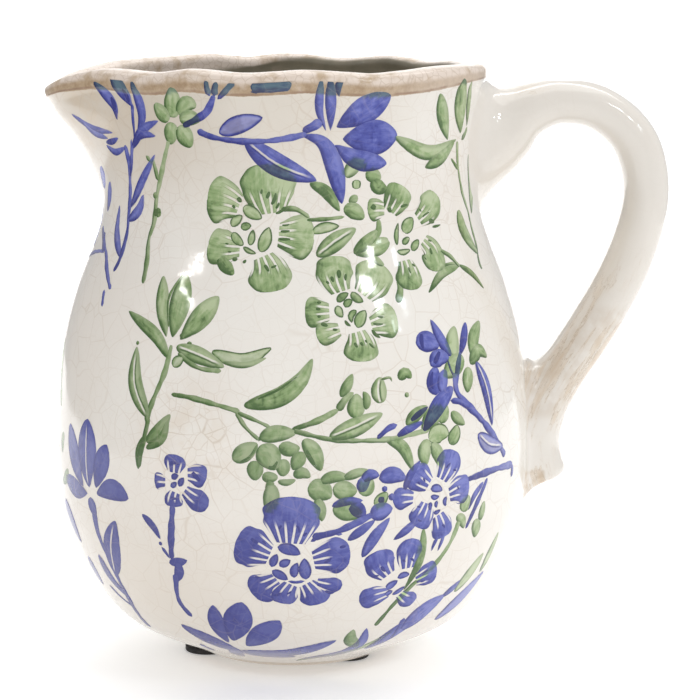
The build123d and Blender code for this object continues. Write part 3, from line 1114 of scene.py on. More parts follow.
# Strokes of the print as seen from the front: width, then points (x from the axis, height above the foot)
# from base to tip, all in mm.
GREEN = [
    # Small blossom near the spout
    leaf(6, (-35.5, 174), (-35.4, 178.5), (-35.3, 182.6)),
    leaf(4.5, (-36.8, 173), (-39.2, 175.5), (-40.8, 177.5)),
    leaf(5, (-33.5, 175), (-31, 178), (-28.5, 177.5)),
    leaf(4.5, (-33, 173.5), (-30, 174), (-27.3, 173.5)),
    leaf(5, (-35.5, 172), (-36, 169), (-36.2, 166)),
    leaf(5.5, (-33.5, 171), (-31.5, 168), (-30, 165.5)),
    stem(1.6, (-36.8, 166.5), (-38.2, 161), (-39.5, 155), (-40.6, 150), (-41, 147), (-41.6, 142),
         (-43.2, 137), (-43.7, 131), (-44.8, 124.5)),
    bead(2.5, -41, 150, tone=-1),
    bead(3.5, -40.5, 145, tone=-1),
    stem(1.4, (-43.6, 161.5), (-42.5, 160.3), (-42, 160)),
    stem(1.4, (-41.8, 161), (-41, 158), (-40.3, 155)),
    # Lily at the upper right
    lily(5.5, (47, 166.5), (45.6, 173), (44.6, 180)),
    lily(7.5, (51.3, 168), (51.3, 176), (52, 184)),
    lily(3, (53.5, 170), (54, 176), (54.5, 183)),
    lily(4.4, (49.5, 165.8), (41, 162.8), (30.5, 168)),
    lily(4, (49, 165), (45, 161), (40.3, 158.6)),
    stem(1.6, (52, 166), (53, 167.5), (53.5, 169)),
    stem(1.3, (50.3, 165), (50.6, 158), (52, 150), (54.5, 142), (56.5, 134), (57.5, 128), (58.3, 126)),
    leaf(4.6, (54.5, 161), (55.3, 151), (55.5, 142.5), tone=1),
    leaf(5, (50.8, 144), (53, 137), (57, 130.5)),
    stem(1, (48.5, 160), (49.5, 158.5), (50.5, 157)),
    # Blossom high in the middle
    petal(15.5, (-6.2, 146), (-7, 152), (-7.3, 161)),
    petal(13, (-15.5, 148), (-19.5, 149.5), (-25.3, 150.5)),
    petal(10.5, (-15.3, 136), (-20, 136), (-25.2, 136.5)),
    petal(11.8, (-8.6, 134), (-7, 130), (-6, 123.6)),
    petal(12.5, (-4.3, 140), (0.5, 139.5), (6.6, 139)),
    leaf(3.6, (-21.5, 133), (-19.8, 130.8), (-17.6, 128.6), tone=-1.2),
    stem(0.9, (-4.5, 146.3), (-0.5, 147.8), (4.8, 145.4)),
    fleck(1.8, (-16.2, 151), (-15.5, 150), (-14.8, 149.4)),
    fleck(1.3, (-17.8, 148.6), (-17.2, 148), (-16.8, 147.4)),
    fleck(1.1, (-9.3, 151.8), (-9, 152.6), (-8.9, 153.6)),
    fleck(1.5, (-7.6, 150.4), (-7, 151.8), (-6.6, 153)),
    fleck(1.5, (-6.3, 148.6), (-5.3, 150.2), (-4.7, 152.6)),
    fleck(1.2, (-5, 147.4), (-4.2, 148.6), (-3.8, 149.8)),
    fleck(0.9, (-20, 137.3), (-19.3, 137.1), (-18.4, 137)),
    fleck(0.9, (-19.3, 134.9), (-18.6, 134.8), (-17.8, 134.8)),
    fleck(1.6, (-18, 132.8), (-17, 132.8), (-16, 133)),
    fleck(1.2, (-14.8, 131.8), (-14.2, 132.1), (-13.6, 132.8)),
    fleck(1.5, (-8.4, 131.6), (-7.5, 130.4), (-6.8, 129.2)),
    fleck(1.2, (-6.6, 130.6), (-5.6, 130.8), (-4.4, 131.4)),
    fleck(1.0, (-3.3, 142.8), (-1.8, 142.8), (-0.5, 143.2)),
    fleck(1.3, (-3.8, 141), (-2, 141), (-0.4, 141.2)),
    fleck(1.4, (-4.3, 138.8), (-2, 138.7), (-0.2, 138.8)),
    fleck(1.3, (-3.9, 136.9), (-2.4, 136.3), (-1.4, 135.9)),
    seed(4.2, (-14.6, 148.2), (-11.8, 146.4), (-8.8, 144.6)),
    seed(3.2, (-18, 142), (-16.6, 144), (-14.6, 145.6)),
    seed(2.8, (-15.4, 141.8), (-13.6, 142.4), (-11.9, 142.6), tone=-0.6),
    seed(3.2, (-17.8, 140.6), (-16.4, 138.4), (-14.3, 136.7)),
    seed(2.6, (-12.5, 136.6), (-12, 139), (-11.5, 141.6)),
    seed(1.9, (-14.6, 136.4), (-12.8, 135.2), (-10.6, 134.5)),
    seed(4.3, (-9.4, 134.8), (-8, 138.4), (-6.8, 142.4)),
    # Blossom right of the middle
    petal(10.8, (14.2, 123.3), (12.6, 127.5), (12, 134)),
    petal(11.5, (20.8, 122.2), (23.5, 126), (25.2, 131.6)),
    petal(8.8, (11, 118), (7.5, 118), (3.4, 118)),
    petal(6.5, (14, 113), (10.8, 112.2), (6.8, 111.2)),
    petal(9.8, (19, 112.3), (20, 108.5), (20.2, 103.3)),
    petal(9.6, (23, 113.8), (27, 114.6), (31.2, 115)),
    fleck(1.1, (9.8, 126.8), (10.3, 126.3), (10.9, 125.8)),
    fleck(1.4, (11.4, 128.2), (11.7, 127.2), (12.2, 126.2)),
    fleck(1.7, (13.6, 130), (13.7, 128.6), (13.8, 127.2)),
    fleck(1.2, (15.8, 128.8), (15.6, 127.6), (15.6, 126.4)),
    fleck(1.2, (7, 120.8), (7.8, 120.7), (8.6, 120.7)),
    fleck(1.3, (6.6, 119), (7.5, 118.9), (8.4, 118.7)),
    fleck(1.2, (7.1, 116.7), (7.8, 116.8), (8.5, 116.7)),
    fleck(1.5, (8, 114.8), (9.3, 114.4), (10.6, 114)),
    fleck(1.2, (11.5, 113.1), (12.3, 112.9), (13.4, 113)),
    fleck(1.3, (18, 109.3), (18.5, 108.4), (19.2, 107.4)),
    fleck(1.3, (19.8, 109.3), (20.3, 108.5), (20.9, 107.9)),
    fleck(0.9, (21.2, 109.8), (21.6, 109.2), (21.9, 108.7)),
    fleck(1, (22.3, 108.9), (23.3, 107.8), (24.3, 107)),
    fleck(1.2, (23.4, 114.3), (25, 113.9), (27, 113.9)),
    fleck(1, (24.8, 116.2), (26, 115.9), (27.2, 115.9)),
    fleck(1.4, (23.2, 112.6), (24.5, 111), (26, 109.9)),
    seed(2.6, (13, 120.6), (14.6, 122.2), (16.6, 123.2)),
    seed(3, (17.4, 123.6), (18.6, 121.8), (21, 120.4)),
    seed(2.7, (15.4, 119), (16.2, 120.4), (17.8, 121.2)),
    seed(2.9, (13.2, 119.9), (13.6, 118), (14.8, 116.2)),
    seed(2.3, (18.9, 118.3), (17.2, 116.8), (17.4, 114.6)),
    seed(3.9, (19, 113.1), (20, 115.8), (21.6, 118.2)),
    seed(1.2, (15.3, 115.6), (16, 114.5), (17.2, 113.7)),
    # Blossom at the right
    petal(9.5, (29, 145.8), (30.8, 149), (33, 153.6)),
    petal(6.4, (27.6, 146.6), (25, 146.8), (22.2, 146.5)),
    petal(9, (37.8, 142.8), (41, 146), (43.2, 150.6)),
    petal(8.6, (39.3, 136.8), (42.2, 133.2), (42.8, 127.3)),
    petal(8.4, (33.5, 131.6), (34.5, 128), (35, 122.8)),
    leaf(5, (28.5, 137.5), (25, 135.8), (18.8, 134.2)),
    stem(2, (19, 134.2), (22.5, 137), (25.5, 140.2), (25.6, 143.5), tone=-0.6),
    fleck(1.8, (28.6, 147.6), (29, 146.5), (29.6, 145.6)),
    fleck(1.4, (32, 147), (33.4, 147.5), (34.8, 147.7)),
    fleck(2.2, (23.2, 148.4), (24, 147.6), (25.2, 147.2)),
    fleck(1, (37.8, 146.2), (38.5, 145.6), (38.8, 144.8)),
    fleck(1.2, (38.8, 143.4), (40, 144.3), (41.6, 145)),
    fleck(2, (40.8, 142.2), (41.8, 142.2), (43, 141.6)),
    fleck(1.1, (42, 140.3), (43.5, 140.4), (45, 140.7)),
    fleck(1.2, (40.5, 136.8), (41.3, 136.4), (42.2, 136.2)),
    fleck(1.6, (41.2, 134.6), (41.6, 133.4), (42, 132)),
    fleck(1, (39.5, 132), (39.9, 131.4), (40.4, 130.9)),
    fleck(1.2, (34.6, 129.8), (34.8, 128.6), (35.4, 127.2)),
    fleck(1.2, (35.6, 130.6), (36.2, 129.8), (36.8, 129.2)),
    seed(4.6, (33.2, 139.2), (34.6, 141.6), (36.2, 143.8)),
    seed(2, (31.2, 135.8), (31, 139), (31.6, 142.6)),
    seed(2.4, (32.8, 136), (33.8, 137), (35.2, 138)),
    seed(2.8, (35.6, 134), (36.8, 135.6), (38, 137.2)),
    seed(2.2, (31, 134.2), (33, 133.8), (35.4, 134.4)),
    leaf(2, (24, 133), (25.5, 131.5), (27, 130.5)),
    stem(2.6, (32, 126), (32, 123), (31.3, 120)),
    # Buds and branches between the blossoms
    leaf(4, (16, 157), (19, 160.5), (21.5, 159), tone=1),
    leaf(4, (22, 157), (24, 157), (26, 156)),
    leaf(4, (24, 155.5), (25.5, 153.5), (28, 152.5), tone=-1),
    stem(2.5, (19, 151), (18, 150), (17, 149.5)),
    bead(3.2, 19, 154.5, hollow=0.5),
    leaf(4.5, (15.5, 147), (18, 146.8), (21, 144.5)),
    leaf(3.2, (5.5, 155), (10, 152.5), (13.8, 147), tone=-1),
    stem(1, (4.5, 144.3), (10, 144.5), (15, 145)),
    stem(1.4, (-3, 147.5), (1, 147.5), (4.8, 145.2)),
    hollow(2.8, (6.2, 140.8), (9.5, 142), (13.5, 142.3)),
    leaf(5, (7.5, 134), (13, 138), (18.5, 141.3), rib=True),
    leaf(3.2, (18.5, 134.5), (22, 137.5), (25, 140.5)),
    stem(1.3, (45, 133), (48, 131), (50.5, 128)),
    stem(1, (46, 128.8), (48.5, 129), (50.5, 128.5)),
    bead(2, 50, 128.5),
    leaf(2.4, (50, 128), (45, 126.5), (41, 122)),
    leaf(2, (51, 128), (55, 125), (58.5, 120.5)),
    # Lily left of the middle
    lily(4.6, (-37.5, 110), (-38.6, 117), (-38.5, 126.5)),
    lily(7, (-35.5, 110), (-33.5, 119), (-31.5, 127.5)),
    stem(0.7, (-36.8, 113), (-36.7, 121), (-32, 128.5), tone=-1),
    lily(6.5, (-33, 109.5), (-27.5, 115.5), (-22, 121.8)),
    leaf(3.6, (-37, 104), (-41, 110), (-48.8, 115.5), tone=-0.6),
    bead(2, -32.6, 110.3, tone=-1),
    bead(2, -30.5, 108, tone=-1),
    leaf(4.6, (-34, 107), (-28, 105.2), (-20.5, 102.3), rib=True),
    stem(1.4, (-33.5, 105), (-28, 101.6), (-21.5, 101)),
    stem(1.6, (-36, 107), (-37.2, 102), (-38.5, 98), (-41.5, 91), (-43.3, 86), (-43.3, 84),
         (-44.5, 79), (-45.5, 75), (-46.3, 70.5)),
    hollow(3, (-35, 101.5), (-34, 103), (-32.5, 104)),
    leaf(5.2, (-43.3, 86), (-47, 95), (-46.5, 105.5), rib=True),
    bead(1.4, -46.3, 107, tone=-1),
    hollow(4, (-23.5, 106.3), (-15, 104.2), (-6.5, 107.8)),
    leaf(1.6, (-20.5, 103.5), (-14, 103), (-8, 105), tone=1),
    leaf(3.6, (-43.5, 78.5), (-40, 82), (-36.5, 87)),
    leaf(2.6, (-43.5, 76.5), (-39, 80), (-37, 85.5)),
    leaf(2.4, (-44, 80), (-46, 75), (-46.3, 70), tone=-1),
    # Branch across the belly, left half
    stem(1.5, (-35.5, 93.2), (-30, 92.7), (-22, 91), (-16, 89.5)),
    leaf(5.2, (-14, 91.2), (-4.5, 93.6), (2, 98.4), (5.6, 104.5)),
    fleck(1.1, (-11, 92.9), (-4.5, 95.9), (2.2, 100.4)),
    stem(1.2, (-16.5, 89), (-14, 85), (-10, 81.3)),
    stem(1.1, (-16, 89), (-11, 87), (-7, 85.2)),
    stem(1.2, (-7, 85.2), (-8.5, 83), (-10, 81.2), tone=-1),
    leaf(4.6, (-9.5, 81.8), (-5, 83.2), (0.5, 83.4)),
    leaf(5, (-17.4, 75.2), (-14, 77.6), (-10.8, 80), tone=0.8),
    stem(0.9, (-15.4, 74.6), (-12.4, 76.6), (-10.6, 79.6), tone=-1),
    leaf(7, (-9.3, 79.4), (-6.9, 76), (-5.4, 72.8)),
    leaf(4, (-3.8, 79.4), (-1, 78.6), (1.6, 79)),
    leaf(3.8, (2.7, 77.4), (1.3, 75), (0.1, 72.8)),
    leaf(4, (-3.3, 75.4), (-3, 73), (-3.2, 70.8)),
    leaf(4.6, (-11, 74.8), (-11.2, 72), (-11.2, 69.5)),
    leaf(3, (-8.8, 70.6), (-7, 70.2), (-4.8, 70.4)),
    leaf(1.6, (-4.2, 69), (-2, 68.7), (0.4, 69.4)),
    fleck(1.6, (-7.6, 73.6), (-5.8, 73.2), (-4.4, 75.4)),
    stem(2, (-6.3, 69), (-7, 67.5), (-7.5, 66)),
    leaf(4.4, (-6.4, 68), (-6.5, 64), (-7.4, 59.8), tone=1),
    leaf(4.6, (3.2, 81.2), (6, 77.6), (8, 72.4)),
    fleck(1.5, (3.8, 78.6), (5.2, 75.8), (6.9, 73)),
    leaf(3, (0.5, 70.6), (2.6, 71.6), (4.7, 70.4)),
    # Branch across the belly, right half
    stem(1.6, (0, 84.5), (7, 86.8), (13, 89.8)),
    stem(1.4, (0.5, 84), (10, 81.5), (20, 80.5), (30, 80.5), (40, 82)),
    leaf(5.2, (11, 82), (18, 84.5), (26, 88), rib=True),
    leaf(5, (18.5, 87.5), (18.5, 91), (18.7, 94)),
    stem(2, (13.3, 90), (15.5, 93), (17.5, 94.5)),
    leaf(2.6, (14.2, 94), (16, 97), (17.3, 99.8)),
    leaf(2.2, (21.5, 90), (21.6, 93), (20.8, 94.5)),
    leaf(4.6, (26, 91.5), (25.3, 95), (25.8, 98.5), rib=True),
    stem(0.6, (26, 98), (28.5, 98.5), (29, 97.5)),
    leaf(3, (31.5, 98), (33.3, 99.5), (34.8, 98), tone=-1),
    bead(1.8, 33.7, 93),
    # Clusters at the right
    leaf(5, (48.8, 102.5), (47.9, 106.5), (48.6, 110.8), tone=1),
    leaf(4.6, (54.3, 102), (54.7, 106.6), (56.6, 111)),
    leaf(4.2, (53.8, 99.9), (56.3, 102.9), (58.8, 100.8)),
    leaf(4.4, (52.9, 98.4), (52.7, 95), (52.6, 91.6)),
    leaf(6, (50.9, 101.8), (48.2, 99.6), (45.4, 97.2)),
    leaf(5.6, (40.8, 79.2), (43.8, 80.6), (46.2, 79.8), hollow=0.5, tone=1),
    leaf(4.4, (47.2, 77), (48.6, 79.5), (49.2, 81.8), hollow=0.5),
    leaf(3, (47.6, 86), (49.2, 84.2), (51.4, 82.2)),
    leaf(3.8, (44.2, 83.8), (45, 86), (46, 88)),
    leaf(5.4, (44.4, 88), (41.2, 85.4), (38.6, 82.2)),
    leaf(3.6, (33.8, 84.4), (36.4, 86.8), (39.6, 88.8)),
    leaf(4.4, (40, 78.8), (39, 75), (39.6, 71.8)),
    leaf(3.8, (41.4, 77.6), (43.4, 74), (44.3, 70.2)),
    leaf(3.4, (27.5, 80.5), (32.5, 77.5), (35.5, 70.5)),
    leaf(4, (55.4, 51.2), (55.8, 48.4), (55.4, 45.8)),
    leaf(2.8, (57, 51), (57.6, 53.6), (58.2, 56.4)),
    leaf(4.4, (51.2, 55.4), (52.2, 57.6), (53, 59.6)),
    leaf(3, (49.6, 53.8), (51, 52.4), (51.6, 50)),
    stem(1.6, (50, 52), (47, 45), (42, 38.5), (36, 33.5), (30, 27), (25, 20.5)),
    leaf(2.6, (38.9, 51.6), (38.7, 46), (37.2, 39.4), (33.4, 32.4), tone=-1),
    leaf(5, (49.8, 27.5), (54.5, 33), (58.5, 38.5), tone=1),
    leaf(3.5, (58, 32), (61, 38), (63.5, 44), tone=1),
    leaf(4, (19, 12), (17.2, 15.5), (18, 19)),
    leaf(3, (1, 4), (10, 7), (19, 10), (30, 17)),
    leaf(6.4, (4.6, 66.6), (8, 66.2), (10.8, 64.2)),
    leaf(3.2, (8.2, 68.8), (12, 70.2), (16, 69.8)),
    leaf(2.4, (15, 69.6), (19, 71), (22, 71.5)),
    leaf(5.4, (12, 66.6), (15, 66), (18.4, 65.6)),
    leaf(3, (7, 63.6), (8, 60.4), (8.4, 57.2)),
    leaf(5.8, (12, 60.4), (15.6, 59.8), (19.8, 58.2)),
    leaf(4.8, (20.2, 64.6), (21.6, 66.6), (22.8, 69)),
    leaf(3.6, (24.6, 60.6), (26, 62.4), (27.6, 64.2), hollow=0.5),
    # Pale tips running out of sight at the left
    leaf(3.4, (-71.5, 102), (-72.5, 94), (-72.5, 88), tone=1),
    leaf(2.6, (-72.5, 88), (-72.6, 85), (-72.5, 82), tone=1),
    leaf(3, (-71.5, 74), (-72, 71), (-72, 68), tone=1),
    leaf(3, (-70, 63), (-71, 60), (-72, 58), tone=1),
]

BLUE = [
    # Lily by the spout
    lily(3.4, (-53, 172.5), (-54.2, 177), (-59.4, 183)),
    lily(4.6, (-48.2, 176.8), (-50.5, 180.5), (-54, 185.4)),
    lily(3.4, (-46.4, 167.8), (-45, 174.5), (-47.6, 184)),
    stem(1, (-48, 177), (-47.8, 172), (-47.3, 166)),
    fleck(2.2, (-53.4, 174.6), (-53.8, 177), (-54.8, 179.4)),
    fleck(2, (-48.6, 177.4), (-49.6, 179.6), (-50.8, 182)),
    leaf(1.8, (-67.6, 172.6), (-61.5, 169), (-55, 168), tone=-1),
    leaf(1.8, (-64, 170.3), (-61, 167.6), (-56.6, 166.2)),
    leaf(1.4, (-56.3, 164.8), (-54.6, 165.3), (-53.2, 166.2), tone=-1),
    leaf(1.6, (-56.4, 163.6), (-53.8, 162), (-50.8, 163.6)),
    stem(1.6, (-50.5, 164), (-49.3, 158), (-49.2, 150), (-49.8, 143), (-50.5, 137), (-52.5, 130),
         (-54.3, 126.5)),
    stem(1, (-48.5, 166), (-48.5, 160), (-49, 155)),
    leaf(2.6, (-48, 164), (-45, 169.4), (-40.3, 172.3), tone=-0.6),
    stem(1, (-49, 157), (-48.6, 161), (-48, 164.5)),
    leaf(1.8, (-46.5, 166.5), (-44.5, 168.2), (-41.3, 168)),
    leaf(2.6, (-48.8, 146), (-45.5, 153.5), (-41.2, 162)),
    leaf(3, (-49.6, 141.8), (-46.5, 145), (-45, 149.5)),
    leaf(3, (-52.6, 131), (-53.8, 138), (-52.9, 145.2)),
    leaf(3.2, (-58.8, 156.5), (-58.5, 153), (-58.3, 150), tone=1),
    leaf(2.6, (-56, 152), (-56.5, 147), (-57.3, 143), tone=1),
    stem(1.2, (-59.5, 143), (-61, 135), (-62.5, 131), tone=1),
    stem(1.6, (-59, 137), (-57.5, 131), (-57, 127), (-55.5, 121.5)),
    stem(1.6, (-57.5, 120), (-57.8, 118), (-58, 116)),
    stem(1.2, (-58.5, 131), (-62, 129.5), (-65.5, 127.5), tone=1),
    stem(2, (-58.5, 135.5), (-58.4, 133), (-58.3, 131)),
    # Sprig and arching branch under the rim
    stem(1.8, (-24.3, 181), (-24.8, 183), (-25, 185), tone=1),
    stem(1.8, (-22.8, 181), (-22.4, 183), (-22, 184.5), tone=1),
    stem(1.6, (-21.5, 180), (-19, 182.5), (-17, 184.8), tone=1),
    stem(2, (-23, 180.5), (-25, 176), (-28.5, 173.5), (-32, 171.5)),
    stem(3.6, (-11.5, 183.4), (-6, 183.9), (-0.5, 184.4), tone=0.5),
    stem(0.8, (-11.5, 182), (-6, 182.3), (-1, 182.9), tone=-1),
    stem(0.9, (-10.5, 185), (-5, 185.5), (0, 185.9), tone=-1),
    stem(1.6, (-27.5, 170), (-24, 168.6), (-18, 167.6), (-10, 167.4), (-2, 168.3), (4, 169.6)),
    hollow(5, (-21, 169.8), (-15.5, 172.4), (-9, 174.4)),
    leaf(6.5, (-13.5, 167.3), (-4.5, 160.6), (6.8, 156), rib=True),
    # Large lily at the top
    lily(2.2, (9.8, 171), (8, 177), (8.6, 185.8)),
    lily(3, (11.3, 171), (11.4, 178), (11.2, 186)),
    lily(1.8, (13.8, 181), (13.5, 183.5), (14.6, 186.3)),
    lily(8, (13.5, 171.8), (20, 175.6), (28.8, 180.4)),
    lily(10.4, (15.4, 168), (23, 168.2), (30.8, 168.6)),
    lily(6, (13, 166), (19, 162), (27.6, 160.4)),
    lily(5.2, (3, 169.4), (9, 167), (12.4, 160), (14.6, 149.3)),
    stem(2.2, (3.5, 170.6), (6.5, 172), (8.5, 173.5)),
    # Cluster at the right
    leaf(6, (37, 107.6), (40, 107.8), (43.3, 106.2)),
    fleck(2, (38.2, 110.6), (38.2, 108), (38.8, 105.4)),
    leaf(3.2, (47.2, 103), (44.2, 108), (41.3, 113.6)),
    leaf(4.8, (41.4, 101), (43.6, 102.8), (46.4, 102.2)),
    fleck(2.2, (41.8, 100.8), (43, 103), (44, 105)),
    leaf(5, (42.6, 92.4), (42, 96), (42.5, 100)),
    fleck(1.8, (41.8, 93.4), (41, 96), (41.6, 99.4)),
    leaf(3.8, (44.5, 92.8), (44.6, 96), (45.5, 98.8), tone=1.5),
    leaf(2.6, (52.1, 111.4), (51.5, 107), (50.3, 103), tone=-1),
    leaf(1.8, (50.3, 103.4), (49.3, 98), (49.2, 94)),
    stem(0.8, (46.4, 101.4), (47.4, 98.4), (48.6, 96.4), tone=-1),
    stem(2.2, (48.6, 97.6), (48.9, 93), (50.6, 89.8), (54, 86), (58.5, 80.4), (62.3, 74.6), (65, 69.4)),
    stem(1.8, (47.6, 89.6), (50, 89), (52.8, 87.2)),
    leaf(4.4, (55.4, 99.6), (58.8, 91), (60.6, 80), rib=True),
    leaf(5, (47.5, 93.4), (43.6, 89), (38.8, 82)),
    leaf(1.6, (35, 85.4), (37.5, 87.2), (39.8, 88.6), tone=-1),
    leaf(2, (31, 81.2), (35, 83.2), (38.4, 84.4)),
    stem(1.4, (25, 81), (28, 83.5), (30.3, 84.3)),
    hollow(5.2, (56.3, 77.7), (59.8, 74), (64, 72.4), rib=True),
    # Largest blossom, low in the middle
    petal(16, (-1, 50), (-0.6, 56), (-0.4, 64.6)),
    petal(12.5, (-7, 46.3), (-12, 48.3), (-17.2, 50.2)),
    petal(9.8, (-4.8, 38.2), (-8.6, 35.6), (-12.6, 33.4)),
    petal(7.6, (-0.8, 36.8), (-2.6, 33.6), (-3.6, 30)),
    petal(8.4, (3.8, 37), (6, 33.5), (7.2, 29.4)),
    petal(4.8, (6.8, 37.4), (10.8, 36.2), (14.6, 36)),
    petal(11, (5.8, 44.6), (11, 45.6), (17, 46)),
    stem(1, (5.5, 50.8), (10, 53.2), (14, 52.6)),
    fleck(1.3, (-4.2, 54.2), (-3.9, 55.2), (-3.2, 56)),
    fleck(1.2, (0.4, 55.8), (1.4, 55.2), (1.9, 53)),
    fleck(1.4, (2.8, 52), (3.4, 53), (4.4, 53.4)),
    fleck(1.6, (-12.8, 51.8), (-11.6, 50.8), (-10, 49.9)),
    fleck(1, (-9.4, 51.2), (-8.6, 50.4), (-7.8, 49.4)),
    fleck(1.3, (-11.8, 39.4), (-10.8, 39.1), (-9.6, 39)),
    fleck(1.4, (-6.4, 33), (-4.8, 33.2), (-3.2, 34.2)),
    fleck(1.2, (-2.4, 33.2), (-1.4, 33.8), (-0.4, 34.8)),
    fleck(1.6, (9, 34.6), (11, 33.6), (12.6, 34)),
    fleck(1.4, (8.8, 43.6), (10.4, 44.4), (11.4, 45.6)),
    fleck(1.2, (9.2, 41.6), (10.8, 41.6), (12, 41.8)),
    fleck(1.4, (13.4, 48.4), (14.4, 48.6), (15.8, 48.8)),
    seed(4, (-4.8, 49), (-1.2, 48.2), (2.2, 46.6)),
    seed(2.8, (-6.6, 42.4), (-5.8, 44.6), (-4.8, 46.8)),
    seed(3, (-4.2, 42.6), (-2.6, 43.8), (-0.8, 44.8)),
    seed(3.2, (-6.4, 41.4), (-4, 39.8), (-1.6, 38.2)),
    seed(2.9, (0.2, 38.8), (0.2, 41.4), (1.2, 44)),
    seed(4, (3.7, 38.2), (3.4, 41.8), (3.2, 45.4)),
    stem(0.9, (-1.2, 37.7), (0.6, 37.4), (2.8, 37.7)),
    # Blossom at the right
    petal(9, (44.4, 66.2), (46.4, 70.4), (47.4, 75.2)),
    petal(8.4, (40.6, 65.4), (38.2, 67.4), (35.2, 70.2)),
    petal(6.2, (35.8, 62), (32.6, 62.2), (29.4, 61.6)),
    petal(8.4, (40, 59.8), (38.4, 56), (36.4, 52.8)),
    petal(8.6, (46.8, 61.4), (49.8, 62.2), (53.3, 62)),
    petal(7.6, (43.4, 55.6), (44.5, 52), (45, 47.8)),
    leaf(2, (32.9, 64.8), (35, 69.4), (37.6, 72.8), tone=-1.5),
    leaf(2.2, (36.6, 54.6), (33.5, 52), (30.2, 49.8)),
    leaf(0.8, (45.4, 49), (44.6, 46.6), (43.6, 44.2)),
    leaf(0.8, (43.4, 48.4), (42.4, 46.6), (41.6, 44.6)),
    fleck(1.2, (45.4, 69.4), (46.4, 70.4), (47.4, 71.2)),
    fleck(1.1, (47.8, 69), (48.4, 68.6), (49.2, 68.4)),
    fleck(1, (38.4, 67.8), (39, 67), (39.4, 66.2)),
    fleck(1.1, (36.8, 67), (37.4, 66.2), (38.2, 65.6)),
    fleck(1, (36.6, 59.4), (37.4, 59), (38.2, 58.9)),
    fleck(1, (37, 55.4), (37.6, 54.6), (38.6, 54.4)),
    fleck(1.2, (44.4, 52.4), (45.2, 51.8), (45.6, 50.8)),
    fleck(1.1, (49.2, 63.8), (49.6, 62.8), (49.4, 61.8)),
    seed(2.8, (40.9, 64), (42.8, 64), (44.8, 63)),
    seed(1.9, (41, 61.8), (42.4, 61.2), (43.8, 61.4)),
    seed(2, (41.2, 60), (40.8, 58.6), (41, 57.2)),
    seed(1.6, (43.1, 60.2), (42.7, 59), (42.9, 57.8)),
    seed(1.6, (41.8, 56.6), (43, 56.4), (44.2, 57.2)),
    seed(1.8, (46, 61), (45.4, 59.5), (45.8, 57.8)),
    leaf(4.6, (25.8, 68.8), (29.5, 69.6), (33, 68.2)),
    leaf(3, (20.6, 68.8), (22.6, 70.2), (25, 69.8)),
    bead(2, 27, 65.6),
    bead(2.4, 29.2, 63),
    stem(2, (53, 65), (58, 65.6), (63, 65.8), (67.4, 65.4)),
    stem(1.4, (67.6, 65.2), (67.9, 63.6), (67.6, 61.8), tone=1),
    stem(1.6, (59, 63.4), (56, 57), (52.5, 49.8), tone=-1),
    leaf(1.6, (57.6, 62.6), (55, 59.4), (53.2, 55.6)),
    # Blossom between the two
    petal(9.2, (28.3, 37.8), (26, 41.6), (25, 46.6)),
    petal(8, (34, 39.4), (34.5, 44), (35.6, 49.4)),
    petal(7.6, (28.6, 32.2), (24, 31), (19.6, 29.6)),
    petal(8.2, (36.8, 35), (40, 36.2), (43.6, 37.4)),
    petal(5.4, (32, 30.8), (34, 28.8), (36.6, 27)),
    fleck(1.6, (26, 41.6), (26.6, 40.4), (27.6, 39.2)),
    fleck(1.2, (23.6, 38.6), (24.6, 38.2), (25.8, 38.4)),
    fleck(1.1, (32.2, 42.6), (33, 42.4), (33.6, 41.6)),
    fleck(1.2, (34.6, 43), (35.6, 42.4), (36.4, 41.2)),
    fleck(1.2, (38, 34.4), (39, 34.2), (40.2, 34.6)),
    fleck(1, (38.8, 37), (39.8, 37.4), (40.8, 38.2)),
    seed(2.6, (31.1, 36.6), (33, 37.4), (35, 37.3)),
    seed(3, (27.6, 33), (29.4, 34.6), (31.4, 35.8)),
    seed(2.4, (27.3, 30.8), (28.4, 31.8), (29.9, 32.4)),
    seed(2, (29.6, 31), (31.6, 32), (33.6, 33.5)),
    # Buds and stems between the blossoms
    leaf(3.4, (20.4, 65.4), (20.6, 67.6), (22.4, 69.2)),
    leaf(4.2, (16.8, 61.4), (18.8, 60), (20.8, 57.4), tone=-1),
    leaf(2.4, (11.8, 61.4), (15.6, 62.6), (20, 62.6)),
    bead(2.4, 26, 62.4, tone=-1),
    stem(2, (6, 52), (13, 53.5), (20, 56.5), (24, 58.4)),
    leaf(5.2, (23.2, 57.6), (26, 58.9), (29, 59.4)),
    leaf(2.4, (16.4, 50.8), (19.6, 53), (23.8, 56)),
    leaf(3.2, (20.6, 45.2), (23.8, 50.6), (28.3, 56.3)),
    # Small blossom at the left and its stem
    petal(6.8, (-35.3, 69.9), (-35.1, 72.6), (-34.7, 75.6)),
    petal(6.6, (-31.3, 69.9), (-28.6, 69.9), (-25.5, 69)),
    petal(6.2, (-32.2, 65), (-29, 62.6), (-25, 60.8)),
    petal(6, (-35, 64.2), (-35.5, 62), (-35.4, 59.4)),
    petal(4.8, (-37.9, 67), (-39.6, 67), (-41.4, 66.8)),
    fleck(1.6, (-37, 72), (-35.4, 73), (-33.4, 72.6)),
    fleck(2, (-30, 71), (-28.8, 69.6), (-27.2, 68)),
    fleck(1.4, (-36.6, 62.6), (-35.4, 62.2), (-34, 62.4)),
    seed(2.2, (-36.1, 68), (-35, 69), (-33.8, 69.3), tone=-1),
    seed(2.3, (-33.9, 65.9), (-33.2, 67.4), (-32.3, 68.9), tone=-1),
    seed(2, (-36.5, 65.7), (-35.4, 66.3), (-34.5, 67.3)),
    stem(2, (-35.8, 60), (-36.4, 52), (-36.4, 43)),
    leaf(2.6, (-36.8, 41.4), (-34.6, 42), (-32.2, 42.8)),
    leaf(2.8, (-34.6, 41.6), (-34.3, 38.6), (-35.2, 35.6)),
